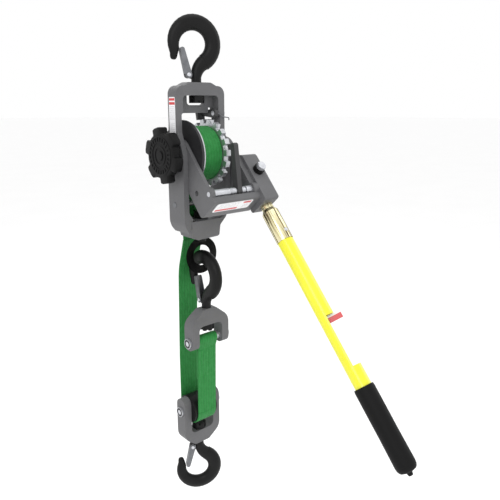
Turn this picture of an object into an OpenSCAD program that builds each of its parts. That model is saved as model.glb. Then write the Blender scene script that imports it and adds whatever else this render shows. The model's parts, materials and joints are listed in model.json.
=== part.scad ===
// Web-strap ratchet hoist: a cast frame with a strap drum, a ratchet lever, three
// swivel hooks and a hook block.  Millimetres, +Z up.  The origin is the point of
// the top hook's bowl that hangs on the anchorage, over the load line.

/* [Strap and drum] */
// Width of the webbing
strap_w = 38; // [30:1:50]
// Thickness of the webbing
strap_t = 2.4; // [1.8:0.1:3.2]
// Radius over the webbing wound on the drum
wound_r = 43; // [36:1:48]
// Radius of the drum barrel under the webbing
core_r = 20; // [15:1:26]
// Radius of the drum shaft
shaft_r = 9; // [7:0.5:11]
// Thickness of the plated drum flange
flange_t = 3; // [2:0.5:5]
// Thickness of the dark friction disc
disc_t = 4.3; // [3:0.1:7]

/* [Ratchet] */
// Number of ratchet teeth
teeth = 18; // [12:1:24]
// Radius over the ratchet teeth
ratchet_r = 53; // [50:0.5:60]
// Depth of a ratchet tooth
tooth_h = 6.5; // [5:0.5:8]
// Thickness of the ratchet wheel and of both pawls
ratchet_t = 8.5; // [6:0.5:12]
// Swing of the drive pawl between clear and engaged, degrees
drive_swing = 6.6; // [5:0.1:8]
// Swing of the holding pawl between clear and engaged, degrees
hold_swing = 15; // [12:0.5:18]

/* [Frame] */
// Thickness of a side plate
plate_t = 9; // [6:0.5:13]
// Height of the top of the frame above the drum axis
frame_top = 108.5; // [100:0.5:130]
// Depth of the foot of the frame below the drum axis
frame_foot = 135; // [125:1:160]
// Depth of the frame's head, front to back
head_d = 22.8; // [20:0.2:30]
// Reach of the lower frame in front of the load line
front_d = 24.6; // [20:0.2:32]
// Reach of the lower frame behind the load line
back_d = 17.5; // [15:0.5:22]
// Radius of the strap guide pin
guide_r = 4.5; // [3:0.5:6]

/* [Lever] */
// Angle of the lever forward of straight down
lever_angle = 41.3; // [38:0.1:60]
// Distance from the drum axis to the outer face of the cross-piece
yoke_len = 108; // [104:1:130]
// Thickness of the lever's left arm
arm_t = 6; // [4:0.5:9]
// Thickness of the lever's right arm
outer_arm_t = 10.2; // [7:0.2:14]
// Width of the handle socket block
socket_w = 29; // [27:1:36]
// Distance from the drum axis to the end of the handle
handle_end = 560; // [480:5:700]
// Radius of the handle tube
tube_r = 13; // [11:0.5:14]
// Wall of the handle tube
tube_wall = 2.6; // [1.5:0.1:4]
// Length of the rubber grip
grip_len = 128; // [100:1:150]

/* [Hooks and clevises] */
// Radius of the middle line of a hook's bowl
bowl_r = 31; // [29:0.5:36]
// Width of the forging at the top of the bowl
bowl_w = 24; // [20:0.5:26]
// Thickness of the forging at the top of the bowl
bowl_t = 19; // [15:0.5:22]
// Radius of a hook's shank
shank_r = 7.8; // [6:0.2:9]
// Overall width of a clevis
clevis_w = 76; // [70:1:90]
// Gap between the arms of a clevis
clevis_gap = 48; // [42:1:54]
// Depth of a clevis arm, front to back
clevis_d = 24; // [20:1:30]
// Radius of the sheave in the hook block
sheave_r = 24.5; // [20:0.5:28]
// Radius of the clevis pins
pin_r = 6.5; // [5:0.5:8]
// Distance from the drum axis down to the sheave axis
block_drop = 450; // [430:1:700]

/* [Hidden] */
$fn = 64;

// Clearances: a running fit on the radius, a gap beside a turning face
fit = 0.05;
gap = 0.4;

// Stack along the drum axis, from the left plate to the right arm
strap_x0 = -strap_w / 2 - 3;
strap_x1 = strap_x0 + strap_w;
flange_x0 = strap_x0 - gap - flange_t;
disc_x0 = flange_x0 - disc_t;
arm_x1 = disc_x0 - 0.9;
arm_x0 = arm_x1 - arm_t;
inner_half = -(arm_x0 - gap);
outer_half = inner_half + plate_t;
ratchet_x0 = strap_x1 + gap;
ratchet_x1 = ratchet_x0 + ratchet_t;
right_arm_x0 = outer_half + 0.8;
right_arm_x1 = right_arm_x0 + outer_arm_t;
socket_x1 = right_arm_x1 + socket_w;
handle_x = right_arm_x1 + socket_w / 2;
knob_x0 = -outer_half - 25;

// Levels, measured from the drum axis
hook_bowl_z = bowl_r + 25;
saddle_h = hook_bowl_z + bowl_r - bowl_w / 2;
drum_z = -(frame_top + saddle_h);
bridge_z = frame_top - 19.5;
web_z = bridge_z - 26.5;
foot_z = -frame_foot + 31;
nut_h = 11.5;
nut_r = 12.5;
guide_y = 2;
guide_z = foot_z + 25.5;

// Ratchet and pawls.  Angles run from straight down towards the front.
pitch = 360 / teeth;
pawl_pin_r = 4;
drive_pin_o = 20;
drive_pin_s = yoke_len - 19;
drive_pivot = norm([drive_pin_o, drive_pin_s]);
drive_line = ratchet_r + 7;
drive_foot = atan2(drive_pin_o, drive_pin_s) + acos(drive_line / drive_pivot);
drive_finger = lever_angle + drive_foot;
hold_y = -7;
hold_z = ratchet_r + 9;
hold_finger = drive_finger + pitch * round((202 - drive_finger) / pitch);
finger_w = 5.6;

// Handle, along the lever from the drum axis
handle_o = 9.3;
socket_s0 = 20;
socket_s1 = yoke_len + 9;
ferrule_s1 = socket_s1 + 67;
notch_s0 = 318;
notch_s1 = 400;
grip_s0 = handle_end - grip_len;
plunger_s = socket_s1 - 55;

// Dead end and block
clevis_base = 27.5;
eye_y = -4;
dead_y = -14;
block_y = 12;
strap_mid_x = (strap_x0 + strap_x1) / 2;
eye_ring_r = 24.2;
eye_wire_r = 7;
eye_z = -frame_foot - 1 - eye_ring_r - eye_wire_r;
eye_reach = bowl_r - bowl_w / 2 - eye_wire_r - 2 * gap;
dead_base_z = eye_z - eye_ring_r - sqrt(pow(eye_reach, 2) - pow(eye_y - dead_y - 3.5, 2))
  - hook_bowl_z;
dead_pin_h = 56;
dead_pin_z = dead_base_z - dead_pin_h;
block_pin_h = 72;
block_base_z = -block_drop - block_pin_h;
run_foot_z = -frame_foot - 6;
run_foot_y = 16;
bight_r = sheave_r + gap;

// Turn of each hook about its own shank
top_turn = -20;
dead_turn = -90;
load_turn = -28;

// --- outlines -------------------------------------------------------------
function unit(v) = v / norm(v);
function turn_to(a, b) = (b - a + 540) % 360 - 180;

// A corner of an outline, rounded to radius r between its two neighbours
function corner(a, b, c, r, steps = 6) =
  r == 0 ? [b] :
  let (u = unit(a - b), v = unit(c - b), half = acos(u * v) / 2,
       m = b + unit(u + v) * r / sin(half),
       p = b + u * r / tan(half), q = b + v * r / tan(half),
       a0 = atan2(p.y - m.y, p.x - m.x), a1 = atan2(q.y - m.y, q.x - m.x))
  [for (i = [0:steps]) let (t = a0 + turn_to(a0, a1) * i / steps) m + r * [cos(t), sin(t)]];

// An outline from corners given as [x, y, radius]
function rounded(pts) = let (n = len(pts))
  [for (i = [0:n - 1]) let (a = pts[(i + n - 1) % n], b = pts[i], c = pts[(i + 1) % n])
    each corner([a.x, a.y], [b.x, b.y], [c.x, c.y], b.z)];

// The same corners, mirrored about the vertical axis and joined
function mirrored(pts) = concat(pts, [for (i = [len(pts) - 1:-1:0]) [-pts[i].x, pts[i].y, pts[i].z]]);

// A band of even thickness along a list of points
function side_of(p, i, d) = let (a = p[max(i - 1, 0)], b = p[min(i + 1, len(p) - 1)], u = unit(b - a))
  p[i] + d * [-u.y, u.x];
function band(p, t) = concat([for (i = [0:len(p) - 1]) side_of(p, i, t / 2)],
  [for (i = [len(p) - 1:-1:0]) side_of(p, i, -t / 2)]);

// --- placing --------------------------------------------------------------
module from_drum() translate([0, 0, drum_z]) children();
module in_lever() from_drum() rotate([-lever_angle, 0, 0]) children();
module across_x(x0, x1) translate([x0, 0, 0]) rotate([90, 0, 90]) linear_extrude(x1 - x0) children();
module across_y(y0, y1) translate([0, y1, 0]) rotate([90, 0, 0]) linear_extrude(y1 - y0) children();
module rod(x0, x1, r) translate([x0, 0, 0]) rotate([0, 90, 0]) cylinder(h = x1 - x0, r = r);
module tube(x0, x1, r_out, r_in) difference() {
  rod(x0, x1, r_out);
  rod(x0 - 1, x1 + 1, r_in);
}
module box(lo, hi) translate(lo) cube(hi - lo);
module post(z0, z1, r) translate([0, 0, z0]) cylinder(h = z1 - z0, r = r);
module at_top() translate([0, 0, drum_z + frame_top]) rotate([0, 0, top_turn]) children();
module at_dead() translate([0, dead_y, drum_z + dead_base_z]) rotate([0, 0, dead_turn]) children();
module at_load() translate([strap_mid_x, block_y, drum_z + block_base_z]) rotate([0, 0, load_turn])
  mirror([0, 0, 1]) children();

// --- frame ----------------------------------------------------------------
front_outline = mirrored([[19.5, frame_top, 2], [30, frame_top - 5, 6],
  [outer_half, frame_top - 5, 13], [outer_half, foot_z + 18, 12], [38, foot_z + 4, 5],
  [23, foot_z - 11, 6], [20.5, -frame_foot, 5]]);
side_outline = rounded([[-head_d / 2, frame_top, 2], [head_d / 2, frame_top, 2],
  [head_d / 2, 48, 30], [back_d, -15, 30], [back_d, foot_z + 12, 12], [12.5, foot_z - 6, 4],
  [12, -frame_foot, 5], [-front_d - 1.5, -frame_foot, 6], [-front_d - 1.5, foot_z, 3],
  [-front_d, foot_z + 4, 2], [-front_d, 2, 14], [-head_d / 2, 34, 14]]);

module frame() color("dimgray") from_drum() difference() {
  intersection() {
    across_y(-front_d - 5, back_d + 1) polygon(rounded(front_outline));
    across_x(-outer_half, outer_half) polygon(side_outline);
  }
  // open well between the side plates, above it the shallow pocket of the head
  across_y(-front_d - 9, back_d + 9) polygon(rounded(mirrored(
    [[inner_half, web_z, 3], [inner_half, foot_z + 14, 8], [27, foot_z, 8]])));
  across_y(-front_d - 9, 2.5) polygon(rounded(mirrored([[inner_half - 3, bridge_z, 7],
    [inner_half - 3, web_z - 6, 0]])));
  // cut-out behind the hook nut, relief above the holding pawl
  across_y(-1, head_d) polygon(rounded(mirrored([[17, bridge_z, 0], [17, bridge_z - 14.5, 5]])));
  box([ratchet_x1 - 1, -1, web_z - 3], [inner_half - 3, head_d, web_z + 8]);
  // bores: hook shank, eye shank, drum bushes, guide pin, holding pawl pin
  post(bridge_z - 1, frame_top + 1, shank_r + fit);
  translate([0, eye_y, 0]) post(-frame_foot - 1, foot_z + 1, shank_r + fit);
  rod(-outer_half - 1, outer_half + 1, shaft_r + 4);
  translate([0, guide_y, guide_z]) rod(-outer_half - 1, outer_half + 1, guide_r);
  translate([0, hold_y, hold_z]) rod(inner_half - 5, outer_half + 1, pawl_pin_r);
}

module frame_bushes() color("darkgoldenrod") from_drum() for (side = [-1, 1])
  tube(side < 0 ? -outer_half : inner_half, side < 0 ? -inner_half : outer_half,
    shaft_r + 4, shaft_r + fit);

module guide_pin() color("silver") from_drum() translate([0, guide_y, guide_z])
  rod(-outer_half - 1, outer_half + 1, guide_r);

module holding_pawl_pin() color("silver") from_drum() translate([0, hold_y, hold_z])
  rod(ratchet_x1 + gap, outer_half + 1.5, pawl_pin_r);

module side_label() color("white") from_drum()
  across_x(-outer_half - 0.5, -outer_half) polygon(rounded([[-8, frame_top - 22, 2],
    [8, frame_top - 22, 2], [8, frame_top - 82, 4], [-8, frame_top - 82, 4]]));

// --- strap ----------------------------------------------------------------
run_r = wound_r + gap + strap_t / 2;
run_angle = 24;
upper_run = concat(
  [for (a = [-8:4:run_angle]) run_r * [cos(a), -sin(a)]],
  [for (a = [run_angle:-4:0]) [run_foot_y + 30 * (1 - cos(a)), guide_z + 12 + 30 * sin(a) - 14]],
  [[run_foot_y, run_foot_z + 0.5]]);
// The points of an open path, with its inner corners rounded
function eased(pts) = let (n = len(pts)) [for (i = [0:n - 1]) let (b = [pts[i].x, pts[i].y])
  each (i == 0 || i == n - 1 ? [b] : corner([pts[i - 1].x, pts[i - 1].y], b,
    [pts[i + 1].x, pts[i + 1].y], pts[i].z))];
leg_y = bight_r + strap_t / 2;
back_leg = eased([[run_foot_y, run_foot_z, 0], [dead_y + bowl_r + bowl_w - 8, eye_z - 30, 120],
  [block_y + leg_y, -block_drop + 90, 300], [block_y + leg_y, -block_drop + fit, 0]]);
front_leg = eased([[dead_y - pin_r * 0.4, dead_pin_z - pin_r - 9, 0],
  [block_y - leg_y, -block_drop + 12, 40], [block_y - leg_y, -block_drop + fit, 0]]);

module webbing(path) from_drum() across_x(strap_x0, strap_x1) polygon(band(path, strap_t));
module strap_upper_run() color("seagreen") webbing(upper_run);
module strap_back_leg() color("seagreen") webbing(back_leg);
module strap_front_leg() color("seagreen") webbing(front_leg);

// The webbing's sewn end goes round the dead-end pin and closes on itself
loop_r = pin_r + fit + strap_t;
module strap_end_loop() color("seagreen") from_drum() difference() {
  union() {
    translate([0, dead_y, dead_pin_z]) rod(strap_x0, strap_x1, loop_r);
    across_x(strap_x0, strap_x1) polygon([[dead_y - loop_r, dead_pin_z],
      [dead_y + loop_r, dead_pin_z], [front_leg[0].x + strap_t / 2, front_leg[0].y + 2 * fit],
      [front_leg[0].x - strap_t / 2, front_leg[0].y + 2 * fit]]);
  }
  translate([0, dead_y, dead_pin_z]) rod(strap_x0 - 1, strap_x1 + 1, pin_r + fit);
}

module wound_strap() color("seagreen") from_drum() tube(strap_x0, strap_x1, wound_r, core_r);

module strap_bight() color("seagreen") from_drum() translate([0, block_y, -block_drop])
  difference() {
    rod(strap_x0, strap_x1, bight_r + strap_t);
    rod(strap_x0 - 1, strap_x1 + 1, bight_r);
    box([strap_x0 - 1, -99, 0], [strap_x1 + 1, 99, 99]);
  }

// --- drum -----------------------------------------------------------------
module drum_shaft() color("silver") from_drum() union() {
  rod(knob_x0 + 4, right_arm_x1 + 5, shaft_r);
  rod(right_arm_x1 + gap + 2.6, right_arm_x1 + 5, shaft_r + 1.5);
}
module drum_core() color("gray") from_drum() tube(strap_x0 - gap, strap_x1 + gap, core_r, shaft_r);
module drum_flange() color("gainsboro") from_drum()
  tube(flange_x0, flange_x0 + flange_t, ratchet_r - 2, shaft_r);
module friction_disc() color([0.24, 0.24, 0.25]) from_drum()
  tube(disc_x0, flange_x0, ratchet_r - 0.6, shaft_r);

// One tooth of the wheel, flat-topped with slightly drawn-in flanks
function tooth(a) = let (base = pitch * 0.30, tip = pitch * 0.245, root_r = ratchet_r - tooth_h)
  [for (p = [[root_r, -base], [ratchet_r, -tip], [ratchet_r, tip], [root_r, base]])
    p[0] * [-sin(a + p[1]), -cos(a + p[1])]];
module ratchet_wheel() color("silver") from_drum() difference() {
  across_x(ratchet_x0, ratchet_x1)
    polygon([for (i = [0:teeth - 1]) each tooth(drive_finger + pitch * (i + 0.5))]);
  rod(ratchet_x0 - 1, ratchet_x1 + 1, shaft_r);
  tube(ratchet_x1 - 2, ratchet_x1 + 1, ratchet_r - tooth_h - 6, shaft_r + 9);
}
module shaft_spacer() color("gray") from_drum() tube(ratchet_x1, inner_half - gap, shaft_r + 4, shaft_r);
module shaft_clip() color("silver") from_drum()
  tube(right_arm_x1 + gap, right_arm_x1 + gap + 2.6, shaft_r + 4.5, shaft_r);

// --- handwheel ------------------------------------------------------------
knob_r = 43;
knob_lobes = 8;
knob_lobe_depth = 7;
module knob_outline() polygon([for (i = [0:knob_lobes - 1]) let (a = 360 / knob_lobes * i)
  each [for (p = [[-11.5, 0], [-10, 1], [10, 1], [11.5, 0]])
    (knob_r - knob_lobe_depth * (1 - p[1])) * [cos(a + p[0]), sin(a + p[0])]]]);
module handwheel() color([0.12, 0.12, 0.13]) from_drum() difference() {
  union() {
    across_x(knob_x0, knob_x0 + 14) knob_outline();
    rod(knob_x0 + 14, -outer_half - 1.2, shaft_r + 9);
  }
  rod(knob_x0 + 4, 0, shaft_r);
  rod(knob_x0 - 1, knob_x0 + 5, 7.5);
  for (i = [0:knob_lobes - 1]) rotate([360 / knob_lobes * (i + 0.5), 0, 0])
    box([knob_x0 + 3, -5, 22], [knob_x0 + 20, 5, 31]);
  tube(knob_x0 - 1, knob_x0 + 1.5, 21, 13);
}
module handwheel_cap() color([0.16, 0.16, 0.17]) from_drum()
  rod(knob_x0 - 1.5, knob_x0 + 4, 7.5);

// --- pawls ----------------------------------------------------------------
function polar(r, a) = r * [-sin(a), -cos(a)];
module finger(a, r0, r1, w) polygon([polar(r1, a) + w / 2 * [cos(a), -sin(a)],
  polar(r1, a) - w / 2 * [cos(a), -sin(a)], polar(r0, a) - w * 0.42 * [cos(a), -sin(a)],
  polar(r0, a) + w * 0.42 * [cos(a), -sin(a)]]);
module link2d(a, b, ra, rb) {
  translate(a) circle(ra);
  translate(b) circle(rb);
  polygon(concat([for (s = [-1, 1]) a + s * ra * unit([b.y - a.y, a.x - b.x])],
    [for (s = [1, -1]) b + s * rb * unit([b.y - a.y, a.x - b.x])]));
}
module about(p, a) translate(p) rotate(a) translate(-p) children();
root_r = ratchet_r - tooth_h;

// The hook-shaped drive pawl, drawn engaged and swung clear by drive_swing
module drive_pawl() color("slategray") in_lever() {
  pin = [-drive_pin_o, -drive_pin_s];
  foot = polar(drive_line, drive_foot);
  difference() {
    across_x(ratchet_x0, ratchet_x1) about(pin, drive_swing) {
      link2d(pin, foot, 6.2, 4.6);
      link2d(foot, polar(root_r + 3.4, drive_foot), finger_w * 0.54, finger_w * 0.42);
    }
    translate([0, pin.x, pin.y]) rod(ratchet_x0 - 1, ratchet_x1 + 1, pawl_pin_r + fit);
  }
}

// The holding pawl's arm lies beside the wheel and its finger reaches over the teeth
hold_arm_x1 = ratchet_x1 + gap + 5;
hold_hub_x1 = inner_half - 3 - gap;
hold_foot = polar(ratchet_r + 4.5, hold_finger);
module holding_pawl() color([0.25, 0.25, 0.27]) from_drum() {
  pin = [hold_y, hold_z];
  difference() {
    union() {
      across_x(ratchet_x1 + gap, hold_arm_x1) about(pin, hold_swing) link2d(pin, hold_foot, 7.2, 3.2);
      across_x(ratchet_x0, hold_arm_x1) about(pin, hold_swing) {
        translate(hold_foot) circle(r = 3.2);
        finger(hold_finger, root_r + 1, ratchet_r + 4.5, finger_w);
      }
      translate([0, hold_y, hold_z]) rod(hold_arm_x1 - 1, hold_hub_x1, 6.5);
    }
    translate([0, hold_y, hold_z]) rod(ratchet_x0 - 1, inner_half + 1, pawl_pin_r + fit);
  }
}
// Bent wire that trips the holding pawl, out past the right plate's front edge
wire_r = 1.1;
wire_y = -head_d / 2 - 4;
module release_wire() color("silver") from_drum() {
  translate([hold_hub_x1 - 3, hold_y - 6.5, hold_z]) rotate([90, 0, 0])
    cylinder(h = hold_y - 6.5 - wire_y + wire_r, r = wire_r);
  translate([0, wire_y, hold_z]) rod(hold_hub_x1 - 3, outer_half + 7, wire_r);
  translate([outer_half + 6, wire_y, hold_z - 8]) cylinder(h = 8, r = wire_r);
}

// --- lever ----------------------------------------------------------------
arm_front = 24.5;
arm_back = 20;
module arm_outline() {
  circle(r = arm_front);
  polygon(rounded([[-arm_front, 0, 0], [arm_back, 0, 0], [arm_back, -yoke_len, 6],
    [-arm_front, -yoke_len, 3]]));
  translate([-drive_pin_o, -drive_pin_s]) circle(r = 10);
}
module lever_yoke() color("gray") in_lever() difference() {
  union() {
    across_x(arm_x0, arm_x1) arm_outline();
    across_x(right_arm_x0, right_arm_x1) arm_outline();
    across_x(arm_x0, right_arm_x1) polygon(rounded([[-arm_front, -yoke_len + 12, 3],
      [arm_back, -yoke_len + 12, 3], [arm_back, -yoke_len, 6], [-arm_front, -yoke_len, 3]]));
    intersection() {
      across_x(right_arm_x1 - 1, socket_x1) polygon(rounded([[-30, -socket_s0, 9],
        [-30, -socket_s1, 4], [11.5, -socket_s1, 4], [11.5, -socket_s0 - 22, 14]]));
      across_y(-40, 40) polygon(rounded([[0, 0, 0], [socket_x1, 0, 0],
        [socket_x1, -socket_s1 - 1, 6], [0, -socket_s1 - 1, 0]]));
    }
  }
  rod(arm_x0 - 1, right_arm_x1 + 1, shaft_r + fit);
  translate([0, -drive_pin_o, -drive_pin_s]) rod(arm_x0 - 1, right_arm_x1, pawl_pin_r);
  translate([0, 3.4, -71]) rod(arm_x0 - 1, arm_x1 + 1, 4.5);
  translate([handle_x, -handle_o, -socket_s1 - 1]) cylinder(h = 36, r = tube_r - 3);
  translate([handle_x, -20, -plunger_s]) rotate([90, 0, 0]) cylinder(h = 20, r = 9);
}
module drive_pawl_pin() color("silver") in_lever() translate([0, -drive_pin_o, -drive_pin_s])
  rod(arm_x0, right_arm_x1, pawl_pin_r);
module pawl_pin_sleeves() color("silver") in_lever() translate([0, -drive_pin_o, -drive_pin_s]) {
  tube(arm_x1, ratchet_x0 - gap - 14, pawl_pin_r + 2.2, pawl_pin_r);
  tube(ratchet_x1 + gap + 9, right_arm_x0, pawl_pin_r + 2.2, pawl_pin_r);
}
module coil(x0, x1, wire, r) for (i = [0:round((x1 - x0) / wire / 2) - 1])
  translate([x0 + wire * (2 * i + 1), 0, 0]) rotate([0, 90, 0])
    rotate_extrude() translate([r + wire + 0.1, 0]) circle(r = wire * 0.98, $fn = 20);
module pawl_springs() color("silver") in_lever() translate([0, -drive_pin_o, -drive_pin_s]) {
  coil(ratchet_x0 - gap - 13.6, ratchet_x0 - gap - 0.4, 1.1, pawl_pin_r);
  coil(ratchet_x1 + gap + 0.2, ratchet_x1 + gap + 8.8, 1.1, pawl_pin_r);
}

// Along the handle: z is the distance from the drum axis
module along_handle() in_lever() translate([handle_x, -handle_o, 0]) mirror([0, 0, 1]) children();
module handle_ferrule() color("khaki") along_handle() difference() {
  rotate_extrude() polygon([[0, socket_s1 - 34], [tube_r - 3, socket_s1 - 34], [tube_r - 3, socket_s1 + 8],
    [tube_r + 0.8, socket_s1 + 14], [tube_r + 0.8, ferrule_s1], [tube_r - tube_wall - fit, ferrule_s1],
    [tube_r - tube_wall - fit, ferrule_s1 + 26], [0, ferrule_s1 + 26]]);
  at_rivet() cylinder(h = 9, r = 3);
}
module at_rivet() translate([0, 0, ferrule_s1 - 14]) rotate([90, 0, 0])
  translate([0, 0, tube_r - 2]) children();
module ferrule_rivet() color("silver") along_handle() at_rivet() cylinder(h = 4, r = 3);
module handle_tube() color("gold") along_handle() difference() {
  translate([0, 0, ferrule_s1]) cylinder(h = handle_end - 4 - ferrule_s1, r = tube_r);
  translate([0, 0, ferrule_s1 - 1]) cylinder(h = handle_end, r = tube_r - tube_wall);
  box([-tube_r - 1, -tube_r - 1, notch_s0], [tube_r + 1, -1, notch_s1]);
}
module handle_grip() color([0.12, 0.12, 0.13]) along_handle() difference() {
  rotate_extrude() polygon([[0, grip_s0], [tube_r + 2.2, grip_s0], [tube_r + 2.8, grip_s0 + 3],
    [tube_r + 2.8, handle_end - 10], [tube_r, handle_end - 2], [5, handle_end],
    [4, handle_end + 5], [0, handle_end + 5]]);
  translate([0, 0, grip_s0 - 1]) cylinder(h = grip_len - 3, r = tube_r + fit);
}
module handle_label() color("red") along_handle() difference() {
  translate([0, 0, notch_s0 - 14]) cylinder(h = 13, r = tube_r + 0.4);
  translate([0, 0, notch_s0 - 15]) cylinder(h = 15, r = tube_r);
  box([-99, 0, 0], [99, 99, 999]);
}
module yoke_label() color("white") in_lever()
  box([arm_x1 + 2, -arm_front + 4, -yoke_len - 0.5], [right_arm_x0 - 4, 2, -yoke_len]);

module plunger_housing() color([0.25, 0.25, 0.27]) in_lever()
  translate([handle_x, -20, -plunger_s]) rotate([90, 0, 0]) difference() {
    cylinder(h = 16, r = 9);
    translate([0, 0, 4]) cylinder(h = 13, r = 4 + fit);
  }
module plunger() color("silver") in_lever() translate([handle_x, -20, -plunger_s])
  rotate([90, 0, 0]) union() {
    translate([0, 0, 4.5]) cylinder(h = 15, r = 4);
    translate([0, 0, 17]) cylinder(h = 7.5, r = 7.5);
  }

// --- hooks ----------------------------------------------------------------
// The middle line of a hook from its shank, in X and Z, with the heading at each
// station, the width across the bend and the thickness
neck_turn = 58;
bowl_x = -3.5;
neck_r = (bowl_x + bowl_r * cos(neck_turn)) / (1 - cos(neck_turn));
neck_z = hook_bowl_z - bowl_r * sin(neck_turn) - neck_r * sin(neck_turn);
bowl_end = 196;
tip_turn = 24;
function blend(a, b, t) = a + (b - a) * t;
function bowl_width(a) = a < 90 ? blend(bowl_w + 1, bowl_w, (a + neck_turn) / 150)
  : blend(bowl_w, bowl_w * 0.66, pow((a - 90) / (bowl_end - 90), 1.4));
function bowl_depth(a) = a < 90 ? blend(bowl_t - 1, bowl_t, (a + neck_turn) / 150)
  : blend(bowl_t, bowl_t * 0.68, (a - 90) / (bowl_end - 90));
tip_start = [bowl_x + bowl_r * cos(bowl_end), hook_bowl_z + bowl_r * sin(bowl_end)];
hook_stations = concat(
  [[0, 0, 90, shank_r * 2, shank_r * 2]],
  [for (i = [0:6]) let (a = neck_turn * i / 6, t = i / 7)
    [neck_r * (1 - cos(a)), neck_z + neck_r * sin(a), 90 - a,
      blend(shank_r * 2, bowl_w + 1, t), blend(shank_r * 2, bowl_t - 1, t)]],
  [for (i = [0:20]) let (a = blend(-neck_turn, bowl_end, i / 20))
    [bowl_x + bowl_r * cos(a), hook_bowl_z + bowl_r * sin(a), a + 90,
      bowl_width(a), bowl_depth(a)]],
  [for (p = [[6, 0.50, 0.55], [11, 0.44, 0.5], [13.6, 0.34, 0.4], [15, 0.12, 0.2]])
    let (h = bowl_end + 90 - tip_turn)
    [tip_start.x + p[0] * cos(h), tip_start.y + p[0] * sin(h), h, bowl_w * p[1], bowl_t * p[2]]]);
hook_sides = 16;
hook_points = [for (s = hook_stations) for (j = [0:hook_sides - 1]) let (b = 360 * j / hook_sides,
  w = s[3] / 2 * cos(b), t = s[4] / 2 * sin(b)) [s[0] - w * sin(s[2]), t, s[1] + w * cos(s[2])]];
hook_rings = len(hook_stations);
hook_faces = concat([[for (j = [0:hook_sides - 1]) hook_sides - 1 - j]],
  [for (i = [0:hook_rings - 2]) for (j = [0:hook_sides - 1]) let (k = (j + 1) % hook_sides,
    a = i * hook_sides) each [[a + j, a + k, a + hook_sides + k], [a + j, a + hook_sides + k,
    a + hook_sides + j]]],
  [[for (j = [0:hook_sides - 1]) (hook_rings - 1) * hook_sides + j]]);
latch_x = -shank_r - 5;
latch_z = 11;
module hook(shank) {
  difference() {
    union() {
      polyhedron(hook_points, hook_faces);
      post(-shank, 3, shank_r);
      across_y(-3.8, 3.8) {
        translate([latch_x, latch_z]) circle(r = 5);
        polygon([[latch_x, latch_z - 5], [0, latch_z - 9], [0, latch_z + 9], [latch_x, latch_z + 5]]);
      }
    }
    translate([latch_x, 0, latch_z]) rotate([90, 0, 0]) cylinder(h = 20, r = 2.2, center = true);
  }
}
latch_tip = [-23 + 1.2, hook_bowl_z - 8.5];
module latch() color("darkgray") {
  pivot = [latch_x, latch_z];
  difference() {
    across_y(-6, 6) link2d(pivot, latch_tip, 5.2, 3.6);
    across_y(-4.6, 4.6) {
      translate([3, -0.4]) link2d(pivot + [0, -6], latch_tip + [2, 3], 6.4, 4.2);
      translate(pivot) circle(r = 5.6);
    }
    translate([latch_x, 0, latch_z]) rotate([90, 0, 0]) cylinder(h = 20, r = 2.2 + fit, center = true);
  }
}
module latch_pin() color("silver") translate([latch_x, 7.2, latch_z]) rotate([90, 0, 0])
  cylinder(h = 14.4, r = 2.2);
// Castle nut below a shank, top face at z = 0
module castle_nut(h) difference() {
  translate([0, 0, -h]) cylinder(h = h, r = nut_r, $fn = 6);
  translate([0, 0, -h - 1]) cylinder(h = h + 2, r = shank_r);
  for (a = [0:60:120]) rotate([0, 0, a + 30]) box([-20, -1.6, -h - 1], [20, 1.6, -h + 3.5]);
}

top_shank = frame_top - bridge_z + nut_h;
module top_hook() color([0.14, 0.14, 0.15]) at_top() hook(top_shank);
module top_hook_nut() color([0.14, 0.14, 0.15]) at_top()
  translate([0, 0, bridge_z - frame_top - 0.2]) castle_nut(nut_h - 0.2);
module top_latch() at_top() latch();
module top_latch_pin() at_top() latch_pin();

base_shank = clevis_base + nut_h;
module dead_end_hook() color([0.14, 0.14, 0.15]) at_dead() hook(base_shank);
module dead_end_nut() color([0.14, 0.14, 0.15]) at_dead()
  translate([0, 0, -clevis_base - 0.2]) castle_nut(nut_h - 0.2);
module dead_end_latch() at_dead() latch();
module dead_end_latch_pin() at_dead() latch_pin();

module load_hook() color([0.14, 0.14, 0.15]) at_load() hook(base_shank);
module load_hook_nut() color([0.14, 0.14, 0.15]) at_load()
  translate([0, 0, -clevis_base - 0.2]) castle_nut(nut_h - 0.2);
module load_latch() at_load() latch();
module load_latch_pin() at_load() latch_pin();

// --- anchor eye -----------------------------------------------------------
module anchor_eye() color([0.14, 0.14, 0.15]) from_drum() union() {
  translate([0, eye_y, eye_z]) rotate([90, 0, 0]) rotate_extrude()
    translate([eye_ring_r, 0]) circle(r = eye_wire_r);
  translate([0, eye_y, 0]) post(eye_z + eye_ring_r, foot_z + nut_h, shank_r);
}
module anchor_eye_nut() color([0.14, 0.14, 0.15]) from_drum()
  translate([0, eye_y, foot_z + 0.2]) mirror([0, 0, 1]) castle_nut(nut_h - 0.2);

// --- clevises -------------------------------------------------------------
// A clevis with its base at z = 0 and its arms towards -z
module clevis(pin_h, arm_h) difference() {
  intersection() {
    across_y(-clevis_d, clevis_d) polygon(rounded(mirrored([[13, 0, 3],
      [clevis_w / 2, -20, 24], [clevis_w / 2, -arm_h - 1, 0]])));
    union() {
      across_x(-clevis_w, clevis_w) polygon(rounded([[-clevis_d / 2 + 2, 0, 3], [clevis_d / 2 - 2, 0, 3],
        [clevis_d / 2, -20, 20], [clevis_d / 2, -arm_h, clevis_d / 2 - 0.5],
        [-clevis_d / 2, -arm_h, clevis_d / 2 - 0.5], [-clevis_d / 2, -20, 20]]));
    }
  }
  across_y(-clevis_d, clevis_d) polygon(rounded(mirrored([[clevis_gap / 2, -clevis_base, 9],
    [clevis_gap / 2, -arm_h - 9, 0]])));
  post(-clevis_base - 1, 1, shank_r + fit);
  translate([0, 0, -pin_h]) rod(-clevis_w, clevis_w, pin_r);
}
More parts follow.
